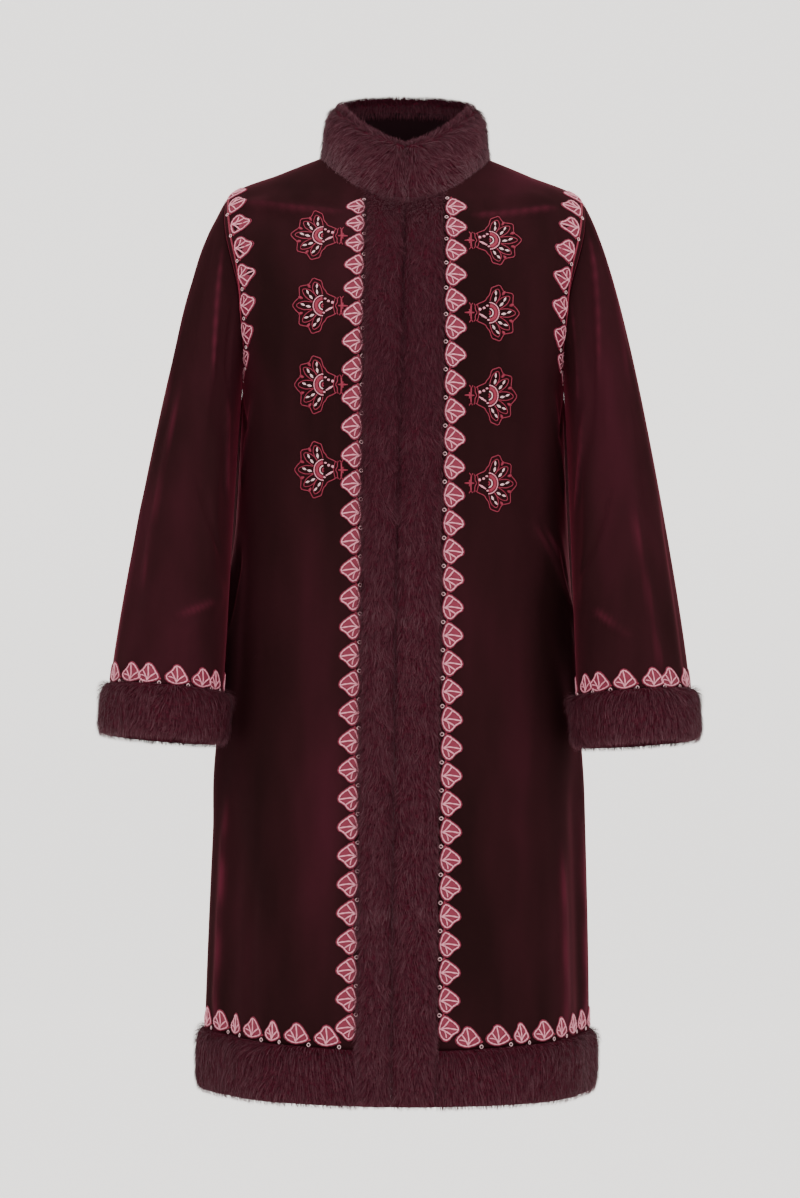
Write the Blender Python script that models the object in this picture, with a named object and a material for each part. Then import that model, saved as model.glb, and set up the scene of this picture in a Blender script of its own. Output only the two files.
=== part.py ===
"""Long embroidered velvet coat with fur collar, front bands, hem band and cuffs.

The coat stands filled out as it is worn, with nobody in it. The front faces -Y and +Z is up.
The origin lies midway between the two shoulder neck points. Lengths are in millimetres here
and each object is in metres. A wall is a grid of points on the outer face of the cloth and a
second grid set in from it along the cloth's own direction, closed round the rim.
"""

from collections import namedtuple

import bmesh
import bpy
import numpy as np

MM = 0.001
CLOTH = 2.4  # velvet with its lining
SEAM = 0.3  # clear gap between two sewn pieces
LAY = 0.45  # clear gap under a piece that lies on another
BAND_WIDTH = 44.0  # half of the fur down the centre front
BAND_PILE = 15.0  # height of the fur at the middle of a band
BAND_EDGE = 4.0  # height of the fur at a band's edge
HEM_PILE = 15.0
CUFF_PILE = 15.5
CUFF_HEIGHT = 58.0
COLLAR_THICK = 19.0
LEVEL_NECK = 0.0
LEVEL_TIP = 0.113  # shoulder point
LEVEL_UNDERARM = 0.314
LEVEL_HEM = 1.0
LEVEL_END = 1.070  # bottom of the fur round the hem
ARMHOLE_FRONT = 26.0  # degrees that the armhole is cut into the front
ARMHOLE_BACK = 24.0

# One row per level line round the body: its side point, its centre front and its centre back.
Ring = namedtuple("Ring", "level side_x side_y side_z front_y front_z back_y back_z square")
RINGS = (
    Ring(0.000, 84.0, 0.0, 0.0, -50.0, -49.0, 60.0, 10.0, 2.0),
    Ring(0.060, 144.0, 2.0, -24.0, -93.0, -100.0, 86.0, -44.0, 2.1),
    Ring(0.113, 203.0, 2.0, -50.0, -117.0, -158.0, 101.0, -108.0, 2.3),
    Ring(0.210, 202.0, 1.0, -155.0, -134.0, -238.0, 110.0, -195.0, 2.4),
    Ring(0.314, 186.0, 2.0, -266.0, -137.0, -315.0, 108.0, -290.0, 2.3),
    Ring(0.386, 188.0, 2.0, -345.0, -134.0, -385.0, 103.0, -365.0, 2.25),
    Ring(0.480, 193.0, 2.0, -445.0, -130.0, -475.0, 100.0, -460.0, 2.2),
    Ring(0.648, 206.0, 2.0, -625.0, -131.0, -645.0, 113.0, -632.0, 2.2),
    Ring(0.816, 213.5, 2.0, -805.0, -134.0, -822.0, 119.0, -812.0, 2.2),
    Ring(1.000, 219.0, 2.0, -1011.0, -138.0, -1023.0, 125.0, -1013.0, 2.25),
    Ring(1.070, 219.5, 2.0, -1082.0, -139.5, -1086.0, 127.0, -1082.0, 2.25),
)

# Centre join of the two bands, which drifts as one band laps a little further over.
Join = namedtuple("Join", "level shift")
JOINS = (Join(0.0, 0.0), Join(0.2, -1.0), Join(0.42, -5.0), Join(1.070, -6.0))

# Soft folds of the body: turn in degrees from centre front (+ to +X), level down the coat.
Fold = namedtuple("Fold", "turn_a level_a turn_b level_b width depth")
BODY_FOLDS = (
    Fold(-38.0, 0.045, -62.0, 0.095, 13.0, 3.0),
    Fold(-36.0, 0.075, -66.0, 0.130, 14.0, -2.5),
    Fold(40.0, 0.050, 64.0, 0.085, 12.0, 2.5),
    Fold(-84.0, 0.500, -80.0, 0.760, 16.0, 4.0),
    Fold(-70.0, 0.480, -66.0, 0.700, 18.0, -3.0),
    Fold(62.0, 0.460, 84.0, 0.620, 15.0, 3.5),
    Fold(52.0, 0.520, 78.0, 0.690, 18.0, -3.0),
    Fold(-76.0, 0.720, -78.0, 1.090, 17.0, 5.0),
    Fold(-58.0, 0.760, -58.0, 1.090, 16.0, -4.0),
    Fold(-40.0, 0.800, -39.0, 1.090, 18.0, 3.5),
    Fold(47.0, 0.760, 46.0, 1.090, 20.0, 3.0),
    Fold(70.0, 0.730, 72.0, 1.090, 18.0, -4.0),
    Fold(84.0, 0.700, 88.0, 1.090, 16.0, 4.0),
    Fold(118.0, 0.420, 122.0, 1.090, 26.0, 6.0),
    Fold(145.0, 0.380, 148.0, 1.090, 28.0, -5.0),
    Fold(-120.0, 0.450, -124.0, 1.090, 26.0, 5.5),
    Fold(-150.0, 0.400, -150.0, 1.090, 28.0, -5.0),
    Fold(176.0, 0.520, 178.0, 1.090, 30.0, 4.5),
    Fold(128.0, 0.120, 112.0, 0.300, 16.0, 3.5),
    Fold(-126.0, 0.130, -112.0, 0.310, 16.0, 3.5),
)

# Soft folds of a sleeve: turn in degrees from the outside (90 is the front), reach from 0 at the
# armhole to 1 at the cuff.
SleeveFold = namedtuple("SleeveFold", "side turn_a reach_a turn_b reach_b width depth")
SLEEVE_FOLDS = (
    SleeveFold(-1, 70.0, 0.04, 96.0, 0.34, 11.0, 3.5),
    SleeveFold(-1, 52.0, 0.30, 48.0, 0.86, 15.0, -3.0),
    SleeveFold(-1, 116.0, 0.30, 128.0, 0.62, 14.0, 4.0),
    SleeveFold(-1, 150.0, 0.62, 112.0, 0.80, 13.0, 3.0),
    SleeveFold(1, 44.0, 0.03, 84.0, 0.36, 11.0, 4.0),
    SleeveFold(1, 62.0, 0.06, 112.0, 0.30, 10.0, -3.0),
    SleeveFold(1, 118.0, 0.34, 140.0, 0.66, 14.0, 4.0),
    SleeveFold(1, 60.0, 0.44, 54.0, 0.90, 15.0, -3.0),
    SleeveFold(-1, 250.0, 0.20, 214.0, 0.46, 15.0, 4.0),
    SleeveFold(-1, 262.0, 0.50, 218.0, 0.66, 15.0, -3.5),
    SleeveFold(1, 248.0, 0.22, 212.0, 0.48, 15.0, 4.0),
    SleeveFold(1, 266.0, 0.54, 220.0, 0.70, 15.0, -3.5),
)

# End of a sleeve, where the cuff is sewn on, for the +X side.
SLEEVE_END = np.array((265.0, -91.0, -619.0))
SLEEVE_DOWN = np.array((0.07, -0.09, -0.99))
SLEEVE_STRAIGHT = 0.45  # how long a sleeve keeps to that direction above its end
SLEEVE_HALF_WIDE = 64.0
SLEEVE_HALF_DEEP = 71.0

# Direction in which a sleeve leaves the armhole, and how long it holds it.
Leave = namedtuple("Leave", "turn x y z hold")
LEAVES = (
    Leave(0.0, 0.64, 0.00, -0.77, 0.33),
    Leave(90.0, 0.42, -0.30, -0.86, 0.75),
    Leave(180.0, 0.07, -0.22, -0.97, 0.80),
    Leave(270.0, 0.45, 0.02, -0.89, 0.75),
    Leave(360.0, 0.64, 0.00, -0.77, 0.33),
)

# Top line of the collar and its lower outer edge.
Rim = namedtuple("Rim", "turn x y z lower")
RIMS = (
    Rim(0.0, 0.0, -41.0, 6.0, 0.0170),
    Rim(22.0, 27.0, -36.0, 18.0, 0.0170),
    Rim(50.0, 55.0, -24.0, 36.0, 0.0175),
    Rim(78.0, 72.0, -6.0, 52.0, 0.0185),
    Rim(95.0, 74.0, 8.0, 57.0, 0.0185),
    Rim(125.0, 62.0, 32.0, 64.0, 0.0140),
    Rim(155.0, 32.0, 45.0, 69.0, 0.0130),
    Rim(180.0, 0.0, 49.0, 70.0, 0.0130),
)


def through(keys, values, at):
    """Smooth curve through a table's values, which runs on a little past both ends."""
    keys = np.asarray(keys, float)
    values = np.asarray(values, float)
    step = np.diff(keys)
    slope = np.diff(values) / step
    inner = (slope[:-1] * step[1:] + slope[1:] * step[:-1]) / (step[1:] + step[:-1])
    ends = np.concatenate((slope[:1], inner, slope[-1:]))
    i = np.clip(np.searchsorted(keys, at, side="right") - 1, 0, len(step) - 1)
    t = (at - keys[i]) / step[i]
    start = values[i] * (1 + 2 * t) * (1 - t) ** 2 + values[i + 1] * t * t * (3 - 2 * t)
    bend = ends[i] * t * (1 - t) ** 2 - ends[i + 1] * t * t * (1 - t)
    return start + bend * step[i]


def column(table, name, at):
    """One named column of a table, read at the first column's value."""
    return through([row[0] for row in table], [getattr(row, name) for row in table], at)


def soft(value):
    """Smooth step from 0 to 1."""
    value = np.clip(value, 0.0, 1.0)
    return value * value * (3 - 2 * value)


def unit(vectors):
    return vectors / np.linalg.norm(vectors, axis=-1, keepdims=True)


def fold_height(a, b, a0, b0, a1, b1, width, depth):
    """Height of one soft fold that runs from (a0, b0) to (a1, b1) and dies away at its ends."""
    run = np.hypot(a1 - a0, b1 - b0)
    along = ((a - a0) * (a1 - a0) + (b - b0) * (b1 - b0)) / run**2
    across = ((a - a0) * (b1 - b0) - (b - b0) * (a1 - a0)) / run
    fade = soft(along / 0.3 + 0.5) * soft((1 - along) / 0.3 + 0.5)
    return depth * np.exp(-((across / width) ** 2)) * fade


def body_smooth(turn, level):
    """Outer face of the body without folds."""
    s = np.sin(np.radians(turn))
    c = np.cos(np.radians(turn))
    square = column(RINGS, "square", level)
    reach = (np.abs(s) ** square + np.abs(c) ** square) ** (-1 / square)
    front = c > 0
    side_y = column(RINGS, "side_y", level)
    side_z = column(RINGS, "side_z", level)
    end_y = np.where(front, column(RINGS, "front_y", level), column(RINGS, "back_y", level))
    end_z = np.where(front, column(RINGS, "front_z", level), column(RINGS, "back_z", level))
    x = column(RINGS, "side_x", level) * s * reach
    y = side_y + (end_y - side_y) * np.abs(c) * reach
    z = side_z + (end_z - side_z) * c * c
    return np.stack((x, y, z), axis=-1)


def directions(surface, a, b, step_a, step_b):
    """Outward unit directions of a surface."""
    along_a = surface(a + step_a, b) - surface(a - step_a, b)
    along_b = surface(a, b + step_b) - surface(a, b - step_b)
    return unit(np.cross(along_b, along_a))


def body_fold(turn, level):
    """Total height of the folds at a place on the body."""
    turn = np.mod(turn + 180.0, 360.0) - 180.0
    total = np.zeros(np.broadcast(turn, level).shape)
    for fold in BODY_FOLDS:
        apart = np.mod(turn - fold.turn_a + 180.0, 360.0) - 180.0
        total = total + fold_height(
            apart * 2.6,
            level * 1080.0,
            0.0,
            fold.level_a * 1080.0,
            (fold.turn_b - fold.turn_a) * 2.6,
            fold.level_b * 1080.0,
            fold.width,
            fold.depth,
        )
    return total


def body(turn, level):
    """Outer face of the body cloth: turn 0 is the centre front and 90 the +X side."""
    turn, level = np.broadcast_arrays(np.asarray(turn, float), np.asarray(level, float))
    out = directions(body_smooth, turn, level, 0.05, 0.0004)
    return body_smooth(turn, level) + out * body_fold(turn, level)[..., None]


def body_out(turn, level):
    return directions(body, turn, level, 0.05, 0.0004)


def turn_at(x, level):
    """Turn at which the body's front is this far from the centre."""
    x, level = np.broadcast_arrays(np.asarray(x, float), np.asarray(level, float))
    low = np.full(x.shape, -89.0)
    high = np.full(x.shape, 89.0)
    for _ in range(40):
        middle = (low + high) / 2
        short = body_smooth(middle, level)[..., 0] < x
        low = np.where(short, middle, low)
        high = np.where(short, high, middle)
    return (low + high) / 2


def armhole(turn):
    """(turn on the body, level) of the +X armhole: 0 is the shoulder point and 90 the front."""
    s = np.sin(np.radians(turn))
    cut = np.where(s > 0, -ARMHOLE_FRONT, -ARMHOLE_BACK) * s
    half = (1 - np.cos(np.radians(turn))) / 2
    return 90.0 + cut, LEVEL_TIP + half * (LEVEL_UNDERARM - LEVEL_TIP)


def to_side(points, side):
    return points * np.array((side, 1.0, 1.0))


def sleeve_end(turn, side):
    """Ring of the sleeve's end, on its outer face."""
    down = unit(SLEEVE_DOWN)
    outward = unit(np.array((1.0, 0.0, 0.0)) - down * down[0])
    forward = np.cross(down, outward)
    forward = forward if forward[1] < 0 else -forward
    c = np.cos(np.radians(turn))[..., None]
    s = np.sin(np.radians(turn))[..., None]
    ring = SLEEVE_END + outward * c * SLEEVE_HALF_WIDE + forward * s * SLEEVE_HALF_DEEP
    return to_side(ring, side)


def sleeve_smooth(turn, reach, side):
    """Outer face of a sleeve without folds; past reach 1 it runs on straight down."""
    body_turn, level = armhole(turn)
    start = body(side * body_turn, level)
    end = sleeve_end(turn, side)
    round_turn = np.mod(turn, 360.0)
    leave = np.stack([column(LEAVES, name, round_turn) for name in "xyz"], axis=-1)
    hold = column(LEAVES, "hold", round_turn)[..., None]
    length = np.linalg.norm(end - start, axis=-1, keepdims=True)
    first = to_side(unit(leave), side) * hold * length
    last = to_side(unit(SLEEVE_DOWN), side) * SLEEVE_STRAIGHT * length
    t = np.clip(reach, -0.02, 1.0)[..., None]
    past = np.clip(reach - 1.0, 0.0, None)[..., None]
    curve = start * (1 + 2 * t) * (1 - t) ** 2 + end * t * t * (3 - 2 * t)
    curve = curve + first * t * (1 - t) ** 2 - last * t * t * (1 - t)
    return curve + to_side(unit(SLEEVE_DOWN), side) * past * 500.0


def sleeve_of(side):
    """Outer face of one sleeve, as a function of turn and reach."""

    def smooth(turn, reach):
        return sleeve_smooth(turn, reach, side)

    def surface(turn, reach):
        turn, reach = np.broadcast_arrays(np.asarray(turn, float), np.asarray(reach, float))
        height = np.zeros(turn.shape)
        for fold in SLEEVE_FOLDS:
            if fold.side != side:
                continue
            apart = np.mod(turn - fold.turn_a + 180.0, 360.0) - 180.0
            height = height + fold_height(
                apart * 1.15,
                reach * 520.0,
                0.0,
                fold.reach_a * 520.0,
                (fold.turn_b - fold.turn_a) * 1.15,
                fold.reach_b * 520.0,
                fold.width,
                fold.depth,
            )
        height = height * soft(reach / 0.12) * soft((1.02 - reach) / 0.1)
        out = -side * directions(smooth, turn, reach, 0.3, 0.002)
        return smooth(turn, reach) + out * height[..., None]

    return surface


def wall(name, outer, inner, closed, material):
    """Solid between two grids of points; the first index runs round it when it is closed."""
    rows, columns = outer.shape[:2]
    mesh = bmesh.new()
    faces = [
        [[mesh.verts.new(point * MM) for point in row] for row in grid] for grid in (outer, inner)
    ]
    steps = rows if closed else rows - 1
    for i in range(steps):
        k = (i + 1) % rows
        for j in range(columns - 1):
            a, b = faces[0], faces[1]
            mesh.faces.new((a[i][j], a[i][j + 1], a[k][j + 1], a[k][j]))
            mesh.faces.new((b[i][j], b[k][j], b[k][j + 1], b[i][j + 1]))
        for j in (0, columns - 1):
            mesh.faces.new((faces[0][i][j], faces[0][k][j], faces[1][k][j], faces[1][i][j]))
    if not closed:
        for i in (0, rows - 1):
            for j in range(columns - 1):
                a, b = faces
                mesh.faces.new((a[i][j], a[i][j + 1], b[i][j + 1], b[i][j]))
    bmesh.ops.recalc_face_normals(mesh, faces=mesh.faces)
    bmesh.ops.triangulate(mesh, faces=mesh.faces)
    data = bpy.data.meshes.new(name)
    mesh.to_mesh(data)
    mesh.free()
    data.materials.append(material)
    obj = bpy.data.objects.new(name, data)
    bpy.context.scene.collection.objects.link(obj)


def pull_in(outer, inner, ends, amount):
    """Draws named edges of both grids in along the cloth, which leaves half of a seam's gap."""
    for grid in (outer, inner):
        if "first" in ends:
            grid[0] += unit(grid[1] - grid[0]) * amount
        if "last" in ends:
            grid[-1] += unit(grid[-2] - grid[-1]) * amount
        if "top" in ends:
            grid[:, 0] += unit(grid[:, 1] - grid[:, 0]) * amount
        if "bottom" in ends:
            grid[:, -1] += unit(grid[:, -2] - grid[:, -1]) * amount


def open_seam(outer, inner, edge_row, corners):
    """Draws an armhole's two corners back from the shoulder seam and the side seam as well."""
    inward = 1 if edge_row == 0 else -2
    for grid in (outer, inner):
        for corner in corners:
            grid[edge_row, corner] += unit(grid[inward, corner] - grid[edge_row, corner]) * SEAM / 2


def material_of(name, colour, roughness):
    material = bpy.data.materials.new(name)
    material.use_nodes = True
    shader = material.node_tree.nodes["Principled BSDF"]
    shader.inputs["Base Color"].default_value = (*colour, 1.0)
    shader.inputs["Roughness"].default_value = roughness
    return material


def mitre(turn, side):
    """At the armhole: the inward step that both cloths share, and half the seam's gap."""

    def seam_line(at):
        body_turn, level = armhole(at)
        return body(side * body_turn, level)

    body_turn, level = armhole(turn)
    sleeve = sleeve_of(side)
    start = np.full(turn.shape, 0.01)
    of_body = body_out(side * body_turn, level)
    of_sleeve = -side * directions(sleeve, turn, start, 0.3, 0.004)
    shared = unit(of_body + of_sleeve)
    lean = np.sum(shared * of_body, axis=-1, keepdims=True)
    along = seam_line(turn + 1.0) - seam_line(turn - 1.0)
    apart = unit(np.cross(shared, along))
    away = sleeve(turn, start + 0.02) - sleeve(turn, start)
    apart = apart * np.where(np.sum(apart * away, axis=-1, keepdims=True) < 0, -1.0, 1.0)
    return shared * CLOTH / np.clip(lean, 0.7, 1.0), apart * SEAM / 2


def body_levels(armhole_steps, lower_steps):
    """Levels of the rows: shoulder, armhole (spaced like the sleeve's columns) and skirt."""
    upper = np.linspace(LEVEL_NECK, LEVEL_TIP, 7)[:-1]
    turns = np.linspace(0.0, 180.0, armhole_steps + 1)
    lower = np.linspace(LEVEL_UNDERARM, LEVEL_HEM, lower_steps + 1)[1:]
    return np.concatenate((upper, armhole(turns)[1], lower)), turns, len(upper)


def build_front(name, side, material):
    """One velvet front, from the fur band to the shoulder seam, armhole and side seam."""
    level, hole_turns, first = body_levels(12, 20)
    edge = np.full(level.shape, 90.0)
    edge[first : first + len(hole_turns)] = armhole(hole_turns)[0]
    inner_edge = side * turn_at(side * BAND_WIDTH, level)
    share = np.linspace(0.0, 1.0, 13)[:, None]
    turn = side * (inner_edge + (edge - inner_edge) * share)
    rows = np.broadcast_to(level, turn.shape)
    outer = body(turn, rows)
    step_in = body_out(turn, rows) * CLOTH
    hole = slice(first, first + len(hole_turns))
    step_in[-1, hole], apart = mitre(hole_turns, side)
    inner = outer - step_in
    pull_in(outer, inner, ("first", "last", "bottom"), SEAM / 2)
    outer[-1, hole] = body(turn, rows)[-1, hole] - apart
    inner[-1, hole] = outer[-1, hole] - step_in[-1, hole]
    open_seam(outer, inner, -1, (first, first + len(hole_turns) - 1))
    wall(name, outer, inner, False, material)


def build_back(material):
    """The velvet back, from side to side."""
    level, hole_turns, first = body_levels(12, 20)
    edge = np.full(level.shape, 90.0)
    back_turns = 360.0 - hole_turns
    hole = slice(first, first + len(hole_turns))
    edge[hole] = armhole(back_turns)[0]
    share = np.linspace(0.0, 1.0, 21)[:, None]
    turn = edge + (360.0 - 2 * edge) * share
    rows = np.broadcast_to(level, turn.shape)
    outer = body(turn, rows)
    step_in = body_out(turn, rows) * CLOTH
    sides = ((0, 1), (-1, -1))
    gaps = {}
    for edge_row, side in sides:
        step_in[edge_row, hole], gaps[side] = mitre(back_turns, side)
    inner = outer - step_in
    pull_in(outer, inner, ("first", "last", "bottom"), SEAM / 2)
    for edge_row, side in sides:
        outer[edge_row, hole] = body(turn, rows)[edge_row, hole] - gaps[side]
        inner[edge_row, hole] = outer[edge_row, hole] - step_in[edge_row, hole]
        open_seam(outer, inner, edge_row, (first, first + len(hole_turns) - 1))
    wall("back", outer, inner, False, material)


def build_sleeve(name, side, material):
    """One velvet sleeve, from the armhole to the cuff."""
    turn = np.linspace(0.0, 360.0, 25)[:-1, None]
    reach = np.concatenate((np.linspace(0.0, 0.2, 5)[:-1], np.linspace(0.2, 1.0, 16)))[None, :]
    turn, reach = np.broadcast_arrays(turn, reach)
    surface = sleeve_of(side)
    outer = surface(turn, reach)
    step_in = -side * directions(surface, turn, reach, 0.3, 0.004) * CLOTH
    step_in[:, 0], apart = mitre(turn[:, 0], side)
    outer[:, 0] += apart
    inner = outer - step_in
    pull_in(outer, inner, ("bottom",), SEAM / 2)
    wall(name, outer, inner, True, material)


def rounded(share, edge):
    """Height across a strip of fur, from edge (a share of 1) up to 1 in the middle."""
    across = 2 * share - 1
    return edge + (1 - edge) * np.sqrt(np.clip(1 - across**4, 0.0, 1.0))


def eased(count):
    """Shares from 0 to 1, closer at both ends."""
    return (1 - np.cos(np.pi * np.linspace(0.0, 1.0, count))) / 2


def build_front_band(name, side, material):
    """The fur strip down one front edge, which thins out under the collar."""
    level = np.concatenate((np.linspace(0.0, 0.08, 7)[:-1], np.linspace(0.08, LEVEL_END, 27)))
    join = turn_at(column(JOINS, "shift", level), level)
    outside = turn_at(side * BAND_WIDTH, level)
    share = eased(8)[:, None]
    turn = join + (outside - join) * share
    rows = np.broadcast_to(level, turn.shape)
    cloth = body(turn, rows)
    out = body_out(turn, rows)
    height = BAND_EDGE + (BAND_PILE - BAND_EDGE) * rounded(share, 0.0)
    rise = soft((rows - 0.004) / 0.05)
    foot = np.sqrt(1 - 0.8 * soft((rows - LEVEL_END + 0.02) / 0.02) ** 2)
    outer = cloth + out * (height * rise * foot)[..., None]
    inner = cloth - out * CLOTH
    pull_in(outer, inner, ("first", "last"), SEAM / 2)
    wall(name, outer, inner, False, material)


def build_hem_band(material):
    """The fur strip round the hem, from one front band round the back to the other."""
    level = LEVEL_HEM + (LEVEL_END - LEVEL_HEM) * eased(8)
    start = turn_at(BAND_WIDTH, level)
    end = 360.0 + turn_at(-BAND_WIDTH, level)
    share = np.linspace(0.0, 1.0, 49)[:, None]
    turn = start + (end - start) * share
    rows = np.broadcast_to(level, turn.shape)
    cloth = body(turn, rows)
    out = body_out(turn, rows)
    height = HEM_PILE * rounded((rows - LEVEL_HEM) / (LEVEL_END - LEVEL_HEM), 0.2)
    near = np.minimum(share, 1 - share) * 900.0
    height = height * (0.6 + 0.4 * soft(near / 40.0))
    outer = cloth + out * height[..., None]
    inner = cloth - out * CLOTH
    pull_in(outer, inner, ("first", "last", "top"), SEAM / 2)
    wall("hem_band", outer, inner, False, material)


def build_cuff(name, side, material):
    """The fur ring at the end of one sleeve."""
    turn = np.linspace(0.0, 360.0, 31)[:-1, None]
    share = eased(8)[None, :]
    turn, share = np.broadcast_arrays(turn, share)
    reach = 1.0 + share * CUFF_HEIGHT / 500.0
    surface = sleeve_of(side)
    cloth = surface(turn, reach)
    out = -side * directions(surface, turn, np.full(turn.shape, 1.02), 0.3, 0.004)
    outer = cloth + out * (CUFF_PILE * rounded(share, 0.2))[..., None]
    inner = cloth - out * CLOTH
    pull_in(outer, inner, ("top",), SEAM / 2)
    wall(name, outer, inner, True, material)


def build_collar(material):
    """The fur stand collar, open at the centre front."""
    turn = np.linspace(0.0, 1.0, 39)[:, None]
    half = 180.0 * (1 - np.abs(2 * turn - 1))
    side = np.where(turn < 0.5, 1.0, -1.0)
    body_turn = np.where(turn < 0.5, half, 360.0 - half)
    up = eased(9)[None, :]
    half, side, body_turn, up = np.broadcast_arrays(half, side, body_turn, up)
    lower = column(RIMS, "lower", half)
    top = np.stack([column(RIMS, name, half) for name in "xyz"], axis=-1)
    top = top * np.stack((side, side * side, side * side), axis=-1)
    seam_level = np.zeros(half.shape)
    foot_in = body(body_turn, seam_level) + body_out(body_turn, seam_level + 0.0005) * LAY
    lift = LAY + 4.5 * soft(1.25 - np.abs(body(body_turn, lower)[..., 0]) / 50.0)
    foot_out = body(body_turn, lower) + body_out(body_turn, lower) * lift[..., None]
    rise = unit(top - foot_in)
    ring = unit(np.cross(np.array((0.0, 0.0, 1.0)), top - np.array((0.0, 4.0, 0.0))))
    outward = unit(np.cross(ring, rise))
    outward = outward * np.where(np.sum(outward * foot_in, axis=-1, keepdims=True) < 0, -1, 1)
    inner = foot_in + (top - foot_in) * up[..., None]
    ends = np.clip(half / 16.0, 0.0, 1.0)
    corner = 0.62 + 0.38 * np.sqrt(1 - (1 - ends) ** 2)
    thick = COLLAR_THICK * corner * np.sqrt(np.clip(1 - up**5, 0.02, 1.0))
    bulge = inner + outward * thick[..., None]
    hang = soft(up / 0.45)[..., None]
    outer = foot_out * (1 - hang) + bulge * hang
    outer[:, 0] = foot_out[:, 0]
    pull_in(outer, inner, ("first", "last"), SEAM / 2)
    wall("collar", outer, inner, False, material)


def main():
    for obj in list(bpy.data.objects):
        bpy.data.objects.remove(obj)
    velvet = material_of("burgundy_velvet", (0.032, 0.006, 0.008), 0.8)
    fur = material_of("burgundy_fur", (0.060, 0.014, 0.022), 0.7)
    build_front("front_left", 1, velvet)
    build_front("front_right", -1, velvet)
    build_back(velvet)
    build_sleeve("sleeve_left", 1, velvet)
    build_sleeve("sleeve_right", -1, velvet)
    build_collar(fur)
    build_front_band("front_band_left", 1, fur)
    build_front_band("front_band_right", -1, fur)
    build_hem_band(fur)
    build_cuff("cuff_left", 1, fur)
    build_cuff("cuff_right", -1, fur)


main()
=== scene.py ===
"""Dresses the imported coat: creased velvet, fur, embroidery, lining, light and camera.

Lengths inside the form are in millimetres and become metres when a mesh is made. The front of
the coat faces -Y, +Z is up, and the wearer's left side lies at +X.
"""

import logging
import math
from collections import defaultdict
from dataclasses import dataclass, field
from enum import Enum
from functools import partial
from typing import Callable, Dict, List, NamedTuple, Optional, Sequence, Tuple

import bmesh
import bpy
import numpy as np
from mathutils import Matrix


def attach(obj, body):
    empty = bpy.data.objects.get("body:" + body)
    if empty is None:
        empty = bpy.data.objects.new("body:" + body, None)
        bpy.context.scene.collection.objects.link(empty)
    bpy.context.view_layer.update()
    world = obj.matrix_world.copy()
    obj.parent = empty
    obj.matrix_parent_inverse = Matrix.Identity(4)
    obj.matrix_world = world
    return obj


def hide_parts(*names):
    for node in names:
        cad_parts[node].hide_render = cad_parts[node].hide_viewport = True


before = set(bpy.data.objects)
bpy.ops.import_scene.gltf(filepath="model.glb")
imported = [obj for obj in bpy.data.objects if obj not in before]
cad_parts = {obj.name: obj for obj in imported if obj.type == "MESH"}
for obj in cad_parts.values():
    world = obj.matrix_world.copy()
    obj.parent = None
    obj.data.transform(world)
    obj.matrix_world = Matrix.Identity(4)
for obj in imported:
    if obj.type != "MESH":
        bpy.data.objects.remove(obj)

LOG = logging.getLogger("coat")
MM = 0.001
Surface = Callable[[np.ndarray, np.ndarray], np.ndarray]
Pair = Tuple[np.ndarray, np.ndarray]
Spots = Callable[[np.ndarray, np.ndarray], Pair]


class Side(Enum):
    """Which side of the wearer a piece is on; the value is the sign of its X."""

    LEFT = 1
    RIGHT = -1

    @property
    def word(self) -> str:
        """The side's name as the nodes spell it."""
        return self.name.lower()


class Ring(NamedTuple):
    """One level line round the body, in millimetres."""

    level: float
    side_x: float
    side_y: float
    side_z: float
    front_y: float
    front_z: float
    back_y: float
    back_z: float
    square: float


class Fold(NamedTuple):
    """One soft fold or crease, from place a to place b on a surface."""

    turn_a: float
    along_a: float
    turn_b: float
    along_b: float
    width: float
    depth: float


class Leave(NamedTuple):
    """How a sleeve leaves its armhole at one turn."""

    turn: float
    x: float
    y: float
    z: float
    hold: float


class Rim(NamedTuple):
    """Top line of the collar at one turn, and the level of its lower outer edge."""

    turn: float
    x: float
    y: float
    z: float
    lower: float


class Join(NamedTuple):
    """Where the two front bands meet."""

    level: float
    shift: float


class Scale(NamedTuple):
    """Millimetres of cloth per degree of turn and per unit along it."""

    turn: float
    along: float


ON_BODY = Scale(2.6, 1080.0)
ON_SLEEVE = Scale(1.15, 520.0)
# Millimetres per unit of reach where a sleeve's surface runs on past its cuff's seam.
PAST_SEAM = 500.0
RINGS = (
    Ring(0.000, 84.0, 0.0, 0.0, -50.0, -49.0, 60.0, 10.0, 2.0),
    Ring(0.060, 144.0, 2.0, -24.0, -93.0, -100.0, 86.0, -44.0, 2.1),
    Ring(0.113, 203.0, 2.0, -50.0, -117.0, -158.0, 101.0, -108.0, 2.3),
    Ring(0.210, 202.0, 1.0, -155.0, -134.0, -238.0, 110.0, -195.0, 2.4),
    Ring(0.314, 186.0, 2.0, -266.0, -137.0, -315.0, 108.0, -290.0, 2.3),
    Ring(0.386, 188.0, 2.0, -345.0, -134.0, -385.0, 103.0, -365.0, 2.25),
    Ring(0.480, 193.0, 2.0, -445.0, -130.0, -475.0, 100.0, -460.0, 2.2),
    Ring(0.648, 206.0, 2.0, -625.0, -131.0, -645.0, 113.0, -632.0, 2.2),
    Ring(0.816, 213.5, 2.0, -805.0, -134.0, -822.0, 119.0, -812.0, 2.2),
    Ring(1.000, 219.0, 2.0, -1011.0, -138.0, -1023.0, 125.0, -1013.0, 2.25),
    Ring(1.070, 219.5, 2.0, -1082.0, -139.5, -1086.0, 127.0, -1082.0, 2.25),
)
JOINS = (Join(0.0, 0.0), Join(0.2, -1.0), Join(0.42, -5.0), Join(1.070, -6.0))
LEAVES = (
    Leave(0.0, 0.64, 0.00, -0.77, 0.33),
    Leave(90.0, 0.42, -0.30, -0.86, 0.75),
    Leave(180.0, 0.07, -0.22, -0.97, 0.80),
    Leave(270.0, 0.45, 0.02, -0.89, 0.75),
    Leave(360.0, 0.64, 0.00, -0.77, 0.33),
)
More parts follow.
